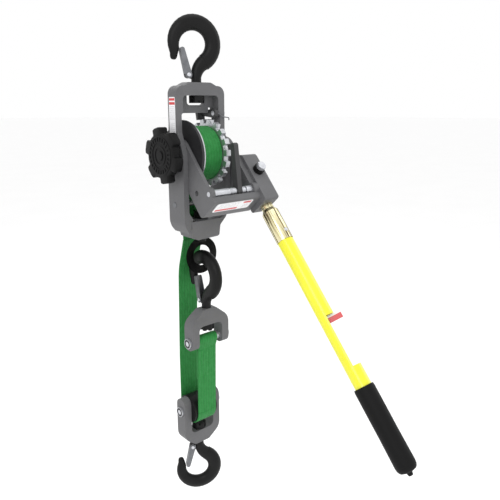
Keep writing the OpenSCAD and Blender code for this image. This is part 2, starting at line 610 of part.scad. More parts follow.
module clevis_pin() {
  rod(-clevis_w / 2 - 3.5, -clevis_w / 2, pin_r + 2);
  rod(-clevis_w / 2, clevis_w / 2 + 6, pin_r);
}
module cotter() translate([clevis_w / 2 + 3, 0, 0]) {
  translate([0, 0, -pin_r - 4]) cylinder(h = 2 * pin_r + 8, r = 1.2);
  translate([-1.2, 0, pin_r + 5]) rotate([0, 90, 0]) cylinder(h = 2.4, r = 2.6);
}
module at_dead_clevis() translate([0, dead_y, drum_z + dead_base_z]) children();
module dead_end_clevis() color("gray") at_dead_clevis() clevis(dead_pin_h, dead_pin_h + clevis_d / 2 + 1);
module dead_end_pin() color("silver") at_dead_clevis() translate([0, 0, -dead_pin_h]) difference() {
  clevis_pin();
  translate([clevis_w / 2 + 3, 0, -20]) cylinder(h = 40, r = 1.2);
}
module dead_end_cotter() color("silver") at_dead_clevis() translate([0, 0, -dead_pin_h]) cotter();

module at_block() translate([strap_mid_x, block_y, drum_z + block_base_z]) mirror([0, 0, 1]) children();
module block_clevis() color("gray") at_block() clevis(block_pin_h, block_pin_h + 24);
module block_pin() color("silver") at_block() translate([0, 0, -block_pin_h]) difference() {
  clevis_pin();
  translate([clevis_w / 2 + 3, 0, -20]) cylinder(h = 40, r = 1.2);
}
module block_cotter() color("silver") at_block() translate([0, 0, -block_pin_h]) cotter();
module sheave() color([0.2, 0.2, 0.2]) at_block() translate([0, 0, -block_pin_h])
  tube(-clevis_gap / 2 + gap, clevis_gap / 2 - gap, sheave_r, pin_r + fit);

frame();
frame_bushes();
guide_pin();
holding_pawl_pin();
side_label();
strap_upper_run();
strap_back_leg();
strap_front_leg();
strap_end_loop();
dead_end_clevis();
dead_end_pin();
dead_end_cotter();
drum_shaft();
drum_core();
drum_flange();
friction_disc();
ratchet_wheel();
wound_strap();
shaft_spacer();
shaft_clip();
handwheel();
handwheel_cap();
holding_pawl();
release_wire();
lever_yoke();
drive_pawl_pin();
pawl_pin_sleeves();
pawl_springs();
handle_ferrule();
ferrule_rivet();
handle_tube();
handle_grip();
yoke_label();
handle_label();
plunger_housing();
drive_pawl();
plunger();
top_hook();
top_hook_nut();
top_latch();
top_latch_pin();
anchor_eye();
anchor_eye_nut();
dead_end_hook();
dead_end_nut();
dead_end_latch();
dead_end_latch_pin();
block_clevis();
block_pin();
block_cotter();
strap_bight();
sheave();
load_hook();
load_hook_nut();
load_latch();
load_latch_pin();
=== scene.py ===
"""Looks of the web-strap ratchet hoist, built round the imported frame.

Lengths are millimetres from the drum axis unless a name says otherwise; MM turns them
into metres as a piece is finished.  X runs along the drum axis, to the lever's right
arm, Y runs to the back and Z up.
"""

import json
import math
import random

import bmesh
import bpy
from mathutils import Matrix, Vector


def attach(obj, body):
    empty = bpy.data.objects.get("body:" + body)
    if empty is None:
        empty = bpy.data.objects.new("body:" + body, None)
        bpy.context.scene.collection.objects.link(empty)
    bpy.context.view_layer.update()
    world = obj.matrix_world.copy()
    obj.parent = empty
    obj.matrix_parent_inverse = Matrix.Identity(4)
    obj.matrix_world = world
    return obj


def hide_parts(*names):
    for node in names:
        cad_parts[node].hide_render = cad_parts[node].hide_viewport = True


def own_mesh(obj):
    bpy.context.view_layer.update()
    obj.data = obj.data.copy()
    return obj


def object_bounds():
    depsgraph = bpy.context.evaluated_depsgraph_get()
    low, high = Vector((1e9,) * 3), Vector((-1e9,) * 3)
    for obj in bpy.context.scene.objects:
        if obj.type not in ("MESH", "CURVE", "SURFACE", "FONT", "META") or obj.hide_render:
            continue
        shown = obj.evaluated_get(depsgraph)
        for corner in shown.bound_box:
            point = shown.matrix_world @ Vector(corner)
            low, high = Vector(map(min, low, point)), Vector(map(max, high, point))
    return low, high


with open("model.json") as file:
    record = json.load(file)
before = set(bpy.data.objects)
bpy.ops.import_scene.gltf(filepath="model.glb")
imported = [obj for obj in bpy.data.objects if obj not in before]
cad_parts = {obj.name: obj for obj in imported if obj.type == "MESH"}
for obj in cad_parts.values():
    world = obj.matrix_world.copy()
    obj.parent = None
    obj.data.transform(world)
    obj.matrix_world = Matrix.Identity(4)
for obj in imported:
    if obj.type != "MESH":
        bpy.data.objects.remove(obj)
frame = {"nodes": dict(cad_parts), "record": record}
cad_low, cad_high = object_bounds()
random.seed(7)

MM = 0.001
BODY_OF = {
    node: body
    for body, nodes in frame["record"]["behaviour"]["bodies"].items()
    for node in nodes
}

# --- sizes the new pieces share with the frame --------------------------------
DRUM_Z = -183.5
FRAME_TOP = 108.5
STRAP_W, STRAP_T = 38.0, 2.4
STRAP_X = (-22.0, 16.0)
STRAP_MID_X = -3.0
WOUND_R, CORE_R = 43.0, 20.0
RATCHET_X = (16.4, 24.9)
LEVER_ANGLE = 41.3
LEVER_TURN = (math.radians(-LEVER_ANGLE), 0, 0)
ARM_X1, RIGHT_ARM_X0, HANDLE_X = -30.6, 46.8, 71.5
YOKE_LEN = 108.0
DRIVE_PIN_O, DRIVE_PIN_S, PAWL_PIN_R = 20.0, 89.0, 4.0
HANDLE_O, HANDLE_END, TUBE_R, GRIP_LEN = 9.3, 560.0, 13.0, 128.0
NOTCH_S0, NOTCH_TURN = 318.0, 44.0
PLUNGER_S, RIVET_S = 62.0, 170.0
OUTER_HALF = 46.0
HEAD_D = 22.8
HOLD_Y, HOLD_Z = -7.0, 62.0
FRAME_FOOT, FOOT_Z = 135.0, -104.0
SHANK_R, BOWL_R, BOWL_W, BOWL_T = 7.8, 31.0, 24.0, 19.0
BOWL_Z = BOWL_R + 25
EYE_Y, EYE_RING_R, EYE_WIRE_R = -4.0, 24.2, 7.0
EYE_Z = -FRAME_FOOT - 1 - EYE_RING_R - EYE_WIRE_R
EYE_REACH = BOWL_R - BOWL_W / 2 - EYE_WIRE_R - 0.8
DEAD_Y, BLOCK_Y, BLOCK_DROP = -14.0, 12.0, 450.0
DEAD_BASE_Z = EYE_Z - EYE_RING_R - math.sqrt(EYE_REACH**2 - (EYE_Y - DEAD_Y - 3.5) ** 2) - BOWL_Z
DEAD_PIN_Z = DEAD_BASE_Z - 56
BLOCK_BASE_Z = -BLOCK_DROP - 72
PIN_R, CLEVIS_W = 6.5, 76.0
BIGHT_R = 24.9
GUIDE_Z = FOOT_Z + 25.5
RUN_FOOT_Y, RUN_FOOT_Z = 16.0, -FRAME_FOOT - 6
BLOCK_TRAVEL = 90.0


# --- places -------------------------------------------------------------------
def moved(x, y, z):
    return Matrix.Translation((x, y, z))


def turned(degrees, axis):
    return Matrix.Rotation(math.radians(degrees), 4, axis)


FLIPPED = Matrix.Scale(-1, 4, (0, 0, 1))
AT_DRUM = moved(0, 0, DRUM_Z)
IN_LEVER = AT_DRUM @ turned(-LEVER_ANGLE, "X")
ALONG_HANDLE = IN_LEVER @ moved(HANDLE_X, -HANDLE_O, 0) @ FLIPPED
AT_DRIVE_PIN = IN_LEVER @ moved(0, -DRIVE_PIN_O, -DRIVE_PIN_S)
AT_PLUNGER = IN_LEVER @ moved(HANDLE_X, -20, -PLUNGER_S) @ turned(90, "X")
HOOK_PLACES = {
    "top": AT_DRUM @ moved(0, 0, FRAME_TOP) @ turned(-20, "Z"),
    "dead_end": AT_DRUM @ moved(0, DEAD_Y, DEAD_BASE_Z) @ turned(-90, "Z"),
    "load": AT_DRUM @ moved(STRAP_MID_X, BLOCK_Y, BLOCK_BASE_Z) @ turned(-28, "Z") @ FLIPPED,
}
HOOK_BODIES = {"top": "top_hook", "dead_end": "dead_end_hook", "load": "load_hook"}


# --- shader maths -------------------------------------------------------------
class Signal:
    """A value in a material; arithmetic on it adds the Math nodes."""

    def __init__(self, finish, socket):
        self.finish, self.socket = finish, socket

    def maths(self, operation, *values):
        return self.finish.node("ShaderNodeMath", {"operation": operation}, dict(enumerate(values)))

    def __add__(self, other):
        return self.maths("ADD", self, other)

    def __sub__(self, other):
        return self.maths("SUBTRACT", self, other)

    def __mul__(self, other):
        return self.maths("MULTIPLY", self, other)

    def __rsub__(self, other):
        return self.maths("SUBTRACT", other, self)

    def __gt__(self, other):
        return self.maths("GREATER_THAN", self, other)

    def __lt__(self, other):
        return self.maths("LESS_THAN", self, other)

    __radd__, __rmul__ = __add__, __mul__

    def call(self, operation, *others):
        return self.maths(operation, self, *others)


class Finish:
    """A named material with one Principled shader, built up node by node."""

    def __init__(self, name, **constants):
        self.material = bpy.data.materials.new(name)
        self.material.use_nodes = True
        self.tree = self.material.node_tree
        self.shader = self.tree.nodes["Principled BSDF"]
        for socket, value in constants.items():
            self.shader.inputs[socket.replace("_", " ")].default_value = value

    def node(self, kind, settings, sockets, out=0):
        """Adds a node, its settings first, then its sockets' values or links."""
        node = self.tree.nodes.new(kind)
        stops = settings.pop("stops", None)
        for name, value in settings.items():
            setattr(node, name, value)
        if stops:
            ramp = node.color_ramp
            for spare in range(len(stops) - len(ramp.elements)):
                ramp.elements.new(0.5 + 0.01 * spare)
            for element, (place, colour) in zip(ramp.elements, stops):
                element.position, element.color = place, colour
        for name, value in sockets.items():
            if isinstance(value, Signal):
                self.tree.links.new(value.socket, node.inputs[name])
            else:
                node.inputs[name].default_value = value
        return Signal(self, node.outputs[out])

    def place(self, kind="Object"):
        return self.node("ShaderNodeTexCoord", {}, {}, kind)

    def centred(self, x, y, z, turn=(0, 0, 0)):
        """Object coordinates measured from a point, in metres, after a turn."""
        return self.node(
            "ShaderNodeMapping", {"vector_type": "TEXTURE"},
            {"Vector": self.place(), "Location": (x, y, z), "Rotation": turn},
        )

    def parts(self, vector):
        """The three parts of a vector."""
        node = self.tree.nodes.new("ShaderNodeSeparateXYZ")
        self.tree.links.new(vector.socket, node.inputs[0])
        return [Signal(self, out) for out in node.outputs]

    def noise(self, scale, detail=2.0, at=None, roughness=0.5, distortion=0.0):
        return self.node(
            "ShaderNodeTexNoise", {},
            {"Vector": at or self.place(), "Scale": scale, "Detail": detail,
             "Roughness": roughness, "Distortion": distortion},
        )

    def stretched(self, scales, at=None):
        return self.node(
            "ShaderNodeMapping", {}, {"Vector": at or self.place(), "Scale": scales}
        )

    def ramp(self, value, low, high, to_low=0.0, to_high=1.0):
        return self.node(
            "ShaderNodeMapRange", {"clamp": True},
            {"Value": value, "From Min": low, "From Max": high, "To Min": to_low, "To Max": to_high},
        )

    def mix(self, share, first, second):
        return self.node(
            "ShaderNodeMix", {"data_type": "RGBA"}, {0: share, 6: first, 7: second}, out=2
        )

    def set(self, **links):
        for socket, value in links.items():
            self.tree.links.new(value.socket, self.shader.inputs[socket.replace("_", " ")])
        return self

    def bump(self, height, depth, strength=1.0):
        """Height, 0 to 1, stands depth metres proud."""
        raised = self.node(
            "ShaderNodeBump", {}, {"Height": height, "Distance": depth, "Strength": strength}
        )
        return self.set(Normal=raised)


def grey(level, tint=(1.0, 1.0, 1.0)):
    return (level * tint[0], level * tint[1], level * tint[2], 1.0)


# --- finishes -----------------------------------------------------------------
def cast_paint(name, level, tint=(1.0, 1.0, 1.04), grain=620, rough=0.5):
    """Paint on a sand casting: soft orange peel, mottling and rubbed places."""
    coat = Finish(name, Metallic=0.0, Specular_IOR_Level=0.35)
    grain_height = coat.noise(grain, detail=3.0, roughness=0.6)
    swell = coat.noise(70, detail=2.0)
    cloud = coat.ramp(coat.noise(26, detail=4.0, roughness=0.65), 0.3, 0.7)
    rub = coat.ramp(coat.noise(150, detail=6.0, roughness=0.72), 0.66, 0.78)
    even = coat.mix(cloud, grey(level * 0.88, tint), grey(level * 1.1, tint))
    speckled = coat.mix(coat.ramp(grain_height, 0.35, 0.7) * 0.35, even, grey(level * 1.3, tint))
    worn = coat.mix(rub * 0.3, speckled, grey(level * 1.75, tint))
    coat.set(Base_Color=worn, Roughness=coat.ramp(cloud, 0, 1, rough - 0.05, rough + 0.1) + rub * 0.08)
    return coat.bump(grain_height * 0.7 + swell * 0.9, 0.00035, 0.65)


def plated(name, colour, dull, rough=0.26, streak=(1, 1, 1)):
    """Bright plating with faint dull clouds, fine lines and pits."""
    coat = Finish(name, Metallic=0.92)
    lines = coat.noise(900, detail=2.0, at=coat.stretched(streak))
    cloud = coat.ramp(coat.noise(60, detail=4.0, roughness=0.6), 0.35, 0.7)
    pits = coat.ramp(coat.noise(420, detail=4.0, roughness=0.7), 0.68, 0.8)
    tone = coat.mix(cloud * 0.6, colour, dull)
    coat.set(
        Base_Color=coat.mix(pits * 0.5, tone, grey(0.16)),
        Roughness=coat.ramp(cloud, 0, 1, rough, rough + 0.16) + lines * 0.1,
    )
    return coat.bump(lines * 0.5 - pits * 0.5, 0.00008, 0.5)


def turned_steel(name, colour, rough, ring_pitch, metallic):
    """A face turned on a lathe: fine rings round the drum axis."""
    coat = Finish(name, Metallic=metallic)
    x, y, z = coat.parts(coat.centred(0, 0, DRUM_Z * MM))
    radius = (y * y + z * z).call("SQRT")
    rings = (radius * (2 * math.pi / ring_pitch)).call("SINE")
    cloud = coat.ramp(coat.noise(45, detail=4.0), 0.3, 0.7)
    ring_noise = coat.node(
        "ShaderNodeTexNoise", {"noise_dimensions": "1D"}, {"W": radius, "Scale": 900.0, "Detail": 3.0}
    )
    lifted = tuple(min(c * 1.5, 1.0) for c in colour[:3]) + (1.0,)
    coat.set(
        Base_Color=coat.mix(coat.ramp(ring_noise, 0.3, 0.75) * 0.5 + cloud * 0.25, colour, lifted),
        Roughness=coat.ramp(cloud, 0, 1, rough, rough + 0.12),
    )
    return coat.bump(rings * 0.3 + ring_noise, 0.00006, 0.5)


def forged_coat(name, level, rough=0.42):
    """Black coat over a drop forging: hammer-flat swells and a fine crust."""
    coat = Finish(name, Specular_IOR_Level=0.16, Coat_Weight=0.03, Coat_Roughness=0.35)
    crust = coat.noise(1000, detail=4.0, roughness=0.65)
    swell = coat.noise(55, detail=2.0)
    rub = coat.ramp(coat.noise(120, detail=7.0, roughness=0.75), 0.64, 0.75)
    cloud = coat.ramp(coat.noise(34, detail=3.0), 0.35, 0.7)
    tone = coat.mix(cloud, grey(level * 0.75), grey(level * 1.4))
    coat.set(
        Base_Color=coat.mix(rub * 0.35, tone, grey(level * 4.5)),
        Roughness=coat.ramp(cloud, 0, 1, rough - 0.05, rough + 0.12),
    )
    return coat.bump(crust * 0.35 + swell, 0.0004, 0.6)


def moulded(name, level, rough, grain_scale, tint=(1.0, 1.0, 1.03)):
    """Moulded plastic or rubber with a spark-eroded grain."""
    coat = Finish(name, Specular_IOR_Level=0.13)
    grain = coat.node(
        "ShaderNodeTexVoronoi", {"feature": "SMOOTH_F1"},
        {"Vector": coat.place(), "Scale": grain_scale, "Smoothness": 0.6},
    )
    dust = coat.ramp(coat.noise(85, detail=6.0, roughness=0.7), 0.5, 0.75)
    swell = coat.noise(40, detail=2.0)
    coat.set(
        Base_Color=coat.mix(dust * 0.5, grey(level, tint), grey(level * 1.9, tint)),
        Roughness=coat.ramp(dust, 0, 1, rough, rough + 0.14),
    )
    return coat.bump(grain * 0.5 + swell * 0.8, 0.0002, 0.7)


def web_finish():
    """Woven webbing.  UV is in centimetres: across the strap, then along it."""
    web = Finish("green_webbing", Roughness=0.72, Sheen_Weight=0.08, Sheen_Roughness=0.5)
    web.shader.inputs["Sheen Tint"].default_value = (0.55, 1.0, 0.6, 1.0)
    web.shader.inputs["Specular IOR Level"].default_value = 0.3
    across, along, _ = web.parts(web.place("UV"))
    turn = 2 * math.pi
    # warp cords 1.35 mm apart, each crossed by slanted picks of yarn 0.9 mm apart
    cord_wave = (across * (turn / 0.135)).call("SINE")
    slant = ((across * (turn / 0.27)).call("SINE")).call("SIGN")
    pick_wave = ((along + across * slant * 0.55) * (turn / 0.09)).call("SINE")
    weave = cord_wave * 0.3 + pick_wave * 0.2 + 0.5
    rib_wave = (across * (turn / 0.54)).call("COSINE")
    wander = web.noise(1.2, detail=4.0, at=web.place("UV"))
    fuzz = web.noise(60, detail=3.0, at=web.stretched((1, 0.22, 1), web.place("UV")))
    streaks = web.noise(9, detail=3.0, at=web.stretched((1, 0.05, 1), web.place("UV")))
    shade = web.ramp(weave * 0.55 + fuzz * 0.35 + streaks * 0.25, 0.25, 0.95)
    body = web.mix(shade, (0.006, 0.105, 0.018, 1), (0.022, 0.29, 0.05, 1))
    aged = web.mix(web.ramp(wander, 0.35, 0.75) * 0.35, body, (0.05, 0.31, 0.085, 1))
    # painted shade: the grooves between the ribs, where the bump sinks them, are darkened
    rib_groove_shaded = web.mix(web.ramp(rib_wave, 0.55, 1.0) * 0.35, aged, (0.004, 0.08, 0.013, 1))
    web.set(Base_Color=rib_groove_shaded, Roughness=web.ramp(shade, 0, 1, 0.82, 0.62))
    return web.bump(weave + fuzz * 0.4 - web.ramp(rib_wave, 0.4, 1.0) * 0.5, 0.0003, 0.8)


def thread_finish():
    """Sewing thread: two plies twisted together."""
    thread = Finish("sewing_thread", Sheen_Weight=0.25)
    x, y, z = thread.parts(thread.place())
    ply = ((x * 0.5 + z) * (2 * math.pi / 0.0007)).call("SINE")
    tone = thread.mix(thread.ramp(ply, -1, 1), (0.008, 0.13, 0.024, 1), (0.04, 0.36, 0.08, 1))
    thread.set(Base_Color=tone, Roughness=thread.ramp(ply, -1, 1, 0.75, 0.55))
    return thread.bump(ply, 0.0001, 0.6)


def handle_paint():
    """Glossy yellow powder coat with faint peel, rubs and dirt."""
    coat = Finish("yellow_powder_coat", Coat_Weight=0.45, Coat_Roughness=0.12)
    peel = coat.noise(260, detail=2.0)
    cloud = coat.ramp(coat.noise(18, detail=3.0), 0.3, 0.7)
    scuff_lines = coat.noise(160, detail=5.0, roughness=0.7, at=coat.stretched(
        (1, 0.12, 0.12), coat.centred(0, 0, DRUM_Z * MM, LEVER_TURN)))
    scuff = coat.ramp(scuff_lines, 0.66, 0.76)
    tone = coat.mix(cloud, (0.74, 0.71, 0.012, 1), (0.82, 0.80, 0.022, 1))
    coat.set(
        Base_Color=coat.mix(scuff * 0.3, tone, (0.5, 0.46, 0.06, 1)),
        Roughness=coat.ramp(cloud, 0, 1, 0.24, 0.34) + scuff * 0.2,
    )
    return coat.bump(peel + scuff * -0.4, 0.00012, 0.45)


def chromate_finish():
    """Yellow chromate over zinc: pale gold with tea and rose clouds."""
    coat = Finish("gold_chromate", Metallic=0.86)
    drawn = coat.stretched((1, 1, 0.05), coat.centred(0, 0, DRUM_Z * MM, LEVER_TURN))
    cloud = coat.noise(120, detail=3.0, roughness=0.55, at=drawn)
    drift = coat.ramp(coat.noise(90, detail=3.0), 0.35, 0.7)
    tint = coat.node("ShaderNodeValToRGB", {"stops": [
        (0.41, (0.05, 0.032, 0.012, 1)), (0.47, (0.80, 0.72, 0.42, 1)),
        (0.55, (0.86, 0.80, 0.52, 1)), (0.61, (0.12, 0.08, 0.028, 1))]}, {0: cloud})
    lines = coat.noise(800, detail=2.0)
    coat.set(
        Base_Color=coat.mix(drift * 0.25, tint, (0.86, 0.78, 0.48, 1)),
        Roughness=coat.ramp(drift, 0, 1, 0.17, 0.30),
    )
    return coat.bump(lines, 0.00005, 0.4)


def label_finish(name, bands, rules, border=0.03):
    """A printed label.  UV runs 0 to 1 over it; bands are solid, rules stand for small print."""
    label = Finish(name, Coat_Weight=0.35, Coat_Roughness=0.2)
    u, v, _ = label.parts(label.place("UV"))

    def inside(low, high, value):
        return (value > low) * (value < high)

    paper = label.mix(
        label.ramp(label.noise(120, detail=4.0), 0.4, 0.75) * 0.35,
        (0.80, 0.80, 0.82, 1), (0.66, 0.66, 0.69, 1),
    )
    red = 0.0
    for u0, u1, v0, v1 in bands:
        red = inside(u0, u1, u) * inside(v0, v1, v) + red
    ink = 0.0
    for u0, u1, v0, v1, pitch in rules:
        lines = ((v * (1 / pitch)).call("FRACT") < 0.42) * inside(u0, u1, u) * inside(v0, v1, v)
        breaks = label.noise(1.0, detail=0.0, at=label.stretched((22, 1 / pitch, 1), label.place("UV")))
        ink = lines * (breaks > 0.43) + ink
    printed = label.mix(ink * 0.55, paper, (0.22, 0.22, 0.24, 1))
    coloured = label.mix(red, printed, (0.55, 0.018, 0.022, 1))
    scuff = label.ramp(label.noise(300, detail=5.0, roughness=0.7), 0.63, 0.75)
    edge = inside(border, 1 - border, u) * inside(border, 1 - border, v)
    label.set(
        Base_Color=label.mix(1 - edge, label.mix(scuff * 0.3, coloured, (0.6, 0.6, 0.6, 1)),
                             (0.72, 0.72, 0.74, 1)),
        Roughness=label.ramp(scuff, 0, 1, 0.32, 0.55),
    )
    return label.bump(scuff * -0.3 + label.noise(60, detail=1.0), 0.00008, 0.4)


FINISHES = {
    "cast_grey": cast_paint("grey_casting_paint", 0.108),
    "pawl_grey": cast_paint("dark_casting_paint", 0.04, rough=0.45),
    "zinc": plated("bright_zinc", (0.66, 0.67, 0.70, 1), (0.40, 0.41, 0.44, 1)),
    "wheel_zinc": turned_steel("turned_zinc", (0.46, 0.47, 0.49, 1), 0.27, 0.0011, 0.9),
    "bronze": plated("bush_bronze", (0.62, 0.43, 0.2, 1), (0.42, 0.28, 0.13, 1), 0.34),
    "forged_black": forged_coat("black_forging", 0.0055),
    "dark_steel": turned_steel("satin_dark_steel", (0.026, 0.026, 0.028, 1), 0.4, 0.0016, 0.55),
    "green_web": web_finish(),
    "thread": thread_finish(),
    "latch_zinc": plated("pressed_zinc_sheet", (0.19, 0.195, 0.205, 1), (0.11, 0.112, 0.12, 1), 0.38),
    "black_plastic": moulded("grained_black_plastic", 0.0045, 0.42, 1500),
    "black_rubber": moulded("matt_black_rubber", 0.0055, 0.55, 1150),
    "yellow_zinc": chromate_finish(),
    "yellow_paint": handle_paint(),
    "sheave_black": moulded("black_nylon", 0.009, 0.36, 1300),
    "side_label": label_finish(
        "side_label_print", [(0.0, 1.0, 0.91, 0.98), (0.0, 1.0, 0.81, 0.875)],
        [(0.12, 0.88, 0.42, 0.77, 0.05), (0.12, 0.88, 0.05, 0.36, 0.05)]),
    "yoke_label": label_finish(
        "yoke_label_print", [(0.05, 0.66, 0.08, 0.30), (0.74, 0.95, 0.68, 0.92)],
        [(0.07, 0.64, 0.36, 0.90, 0.11), (0.76, 0.93, 0.10, 0.60, 0.11), (0.695, 0.706, 0.06, 0.94, 9.0)]),
    "red_label": label_finish(
        "red_label_print", [(0.0, 1.0, 0.30, 1.0)], [(0.1, 0.9, 0.04, 0.26, 0.12)], border=0.0),
}


# --- mesh helpers -------------------------------------------------------------
def loft(bm, stations, sides=24, ends=True):
    """A skin through circles of radius 1 put at each station's matrix, in order."""
    ring = bmesh.ops.create_circle(bm, segments=sides, radius=1.0)["verts"]
    last = stations[0]
    bmesh.ops.transform(bm, matrix=last, verts=ring)
    first_edges = edges = list({e for v in ring for e in v.link_edges})
    for station in stations[1:]:
        new = bmesh.ops.extrude_edge_only(bm, edges=edges)["geom"]
        ring = [g for g in new if isinstance(g, bmesh.types.BMVert)]
        edges = [g for g in new if isinstance(g, bmesh.types.BMEdge)]
        bmesh.ops.transform(bm, matrix=station @ last.inverted(), verts=ring)
        last = station
    if ends:
        bmesh.ops.edgeloop_fill(bm, edges=first_edges)
        bmesh.ops.edgeloop_fill(bm, edges=edges)
    return bm


def wire(bm, points, radius, sides=12, ends=True):
    """A round wire along points, its rings square to the path."""
    points = [Vector(p) for p in points]
    stations = []
    up = Vector((0.31, 0.17, 0.93))
    for i, point in enumerate(points):
        heading = (points[min(i + 1, len(points) - 1)] - points[max(i - 1, 0)]).normalized()
        side = heading.cross(up).normalized()
        up = side.cross(heading)
        r = radius[i] if isinstance(radius, list) else radius
        turn = Matrix((side * r, up * r, heading * r)).transposed().to_4x4()
        stations.append(Matrix.Translation(point) @ turn)
    return loft(bm, stations, sides, ends)


def rounded_path(corners, steps=8):
    """Points along straight runs joined by arcs; each corner is (x, y, radius)."""
    path = []
    for i, (x, y, radius) in enumerate(corners):
        here = Vector((x, y))
        if i in (0, len(corners) - 1) or radius == 0:
            path.append(here)
            continue
        back = (Vector(corners[i - 1][:2]) - here).normalized()
        on = (Vector(corners[i + 1][:2]) - here).normalized()
        half = back.angle(on) / 2
        centre = here + (back + on).normalized() * radius / math.sin(half)
        start, end = here + back * radius / math.tan(half), here + on * radius / math.tan(half)
        a0 = math.atan2(start.y - centre.y, start.x - centre.x)
        a1 = math.atan2(end.y - centre.y, end.x - centre.x)
        sweep = (a1 - a0 + math.pi) % (2 * math.pi) - math.pi
        for k in range(steps + 1):
            a = a0 + sweep * k / steps
            path.append(centre + radius * Vector((math.cos(a), math.sin(a))))
    return path


def evenly(path, step):
    """The same path with its points step apart."""
    lengths = [0.0]
    for a, b in zip(path, path[1:]):
        lengths.append(lengths[-1] + (b - a).length)
    count = max(2, round(lengths[-1] / step))
    points, k = [], 0
    for i in range(count + 1):
        at = lengths[-1] * i / count
        while k < len(path) - 2 and lengths[k + 1] < at:
            k += 1
        share = (at - lengths[k]) / max(lengths[k + 1] - lengths[k], 1e-9)
        points.append(path[k].lerp(path[k + 1], min(share, 1.0)))
    return points


def rod(bm, x0, x1, radius, sides=48, chamfer=0.0, end_radius=None):
    """A round bar along X; returns its vertices."""
    verts = bmesh.ops.create_cone(
        bm, cap_ends=True, segments=sides, radius1=radius,
        radius2=radius if end_radius is None else end_radius, depth=x1 - x0,
        matrix=moved((x0 + x1) / 2, 0, 0) @ turned(90, "Y"),
    )["verts"]
    if chamfer:
        rims = [e for e in {e for v in verts for e in v.link_edges}
                if e.is_manifold and e.calc_face_angle() > 0.9]
        bmesh.ops.bevel(bm, geom=rims, offset=chamfer, offset_type="OFFSET", segments=3,
                        profile=0.5, affect="EDGES", clamp_overlap=True, material=-1)
    return verts


def lathe(bm, outline, sides=64, axis="Z"):
    """Turns an outline of (radius, height) points about an axis."""
    verts = [bm.verts.new((r, 0, h)) for r, h in outline]
    edges = [bm.edges.new(pair) for pair in zip(verts, verts[1:])]
    bmesh.ops.spin(bm, geom=verts + edges, axis=(0, 0, 1), cent=(0, 0, 0),
                   angle=2 * math.pi, steps=sides, use_merge=True)
    bmesh.ops.remove_doubles(bm, verts=bm.verts, dist=1e-4)
    if axis == "X":
        bmesh.ops.transform(bm, matrix=turned(90, "Y"), verts=bm.verts)
    return bm


def finished(name, bm, place, body, finish, replaces=(), crease=35, recalc=True):
    """Makes the piece's object, in metres and in its place, on its body."""
    bmesh.ops.transform(bm, matrix=Matrix.Scale(MM, 4) @ place, verts=bm.verts)
    if recalc:
        bmesh.ops.recalc_face_normals(bm, faces=bm.faces)
    mesh = bpy.data.meshes.new(name)
    bm.to_mesh(mesh)
    bm.free()
    mesh.materials.append(FINISHES[finish].material)
    mesh.shade_smooth()
    mesh.set_sharp_from_angle(angle=math.radians(crease))
    piece = bpy.data.objects.new(name, mesh)
    bpy.context.scene.collection.objects.link(piece)
    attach(piece, body)
    if replaces:
        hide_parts(*replaces)
    return piece


ROUNDED_FROM = 28.0  # degrees between faces from which an edge is rounded


def eased(node, finish, width, reshape=None):
    """A CAD node's shape again, merged and with its edges rounded over."""
    bm = bmesh.new()
    bm.from_mesh(frame["nodes"][node].data)
    bmesh.ops.remove_doubles(bm, verts=bm.verts, dist=4e-6)
    bmesh.ops.dissolve_limit(bm, angle_limit=math.radians(0.4), verts=bm.verts, edges=bm.edges,
                             use_dissolve_boundaries=False)
    bmesh.ops.transform(bm, matrix=Matrix.Scale(1 / MM, 4), verts=bm.verts)
    if reshape:
        reshape(bm)
    piece = finished(node + "_shape", bm, Matrix.Identity(4), BODY_OF[node], finish,
                     [node], crease=45, recalc=False)
    rounding = piece.modifiers.new("rounded_edges", "BEVEL")
    rounding.width, rounding.segments = width * MM, 3
    rounding.limit_method, rounding.angle_limit = "ANGLE", math.radians(ROUNDED_FROM)
    rounding.harden_normals = True
    rounding.use_clamp_overlap = True
    return piece


# --- camera, light and floor --------------------------------------------------
camera_data = bpy.data.cameras.new("camera")
camera_data.lens, camera_data.sensor_width = 40.5, 36.0
camera = bpy.data.objects.new("camera", camera_data)
camera.location = (-0.5380, -0.7355, -0.1055)
camera.rotation_euler = (math.radians(75.333), 0, math.radians(-41.417))
bpy.context.scene.collection.objects.link(camera)
bpy.context.scene.camera = camera


def softbox(name, place, aim, size, power, colour=(1, 1, 1)):
    data = bpy.data.lights.new(name, "AREA")
    data.shape, data.size, data.size_y = "RECTANGLE", *size
    data.energy, data.color = power, colour
    lamp = bpy.data.objects.new(name, data)
    lamp.location = place
    lamp.rotation_euler = (Vector(aim) - Vector(place)).to_track_quat("-Z", "Y").to_euler()
    bpy.context.scene.collection.objects.link(lamp)


MIDDLE = (0, 0, -0.4)
softbox("key_light", (-1.9, -1.3, 0.9), MIDDLE, (1.1, 1.5), 15)
softbox("front_light", (-0.2, -2.3, 0.1), MIDDLE, (1.2, 1.6), 3)
softbox("right_light", (2.0, -0.9, 0.6), MIDDLE, (0.8, 1.8), 7)
softbox("back_light", (0.8, 2.2, 1.0), MIDDLE, (1.6, 1.2), 9)
softbox("top_light", (0.0, -0.2, 1.9), MIDDLE, (1.8, 1.8), 8)

world = bpy.data.worlds.new("studio")
world.use_nodes = True
world.node_tree.nodes["Background"].inputs["Color"].default_value = (1.0, 1.0, 1.0, 1)
world.node_tree.nodes["Background"].inputs["Strength"].default_value = 1.0
bpy.context.scene.world = world
bpy.context.scene.view_settings.view_transform = "Standard"

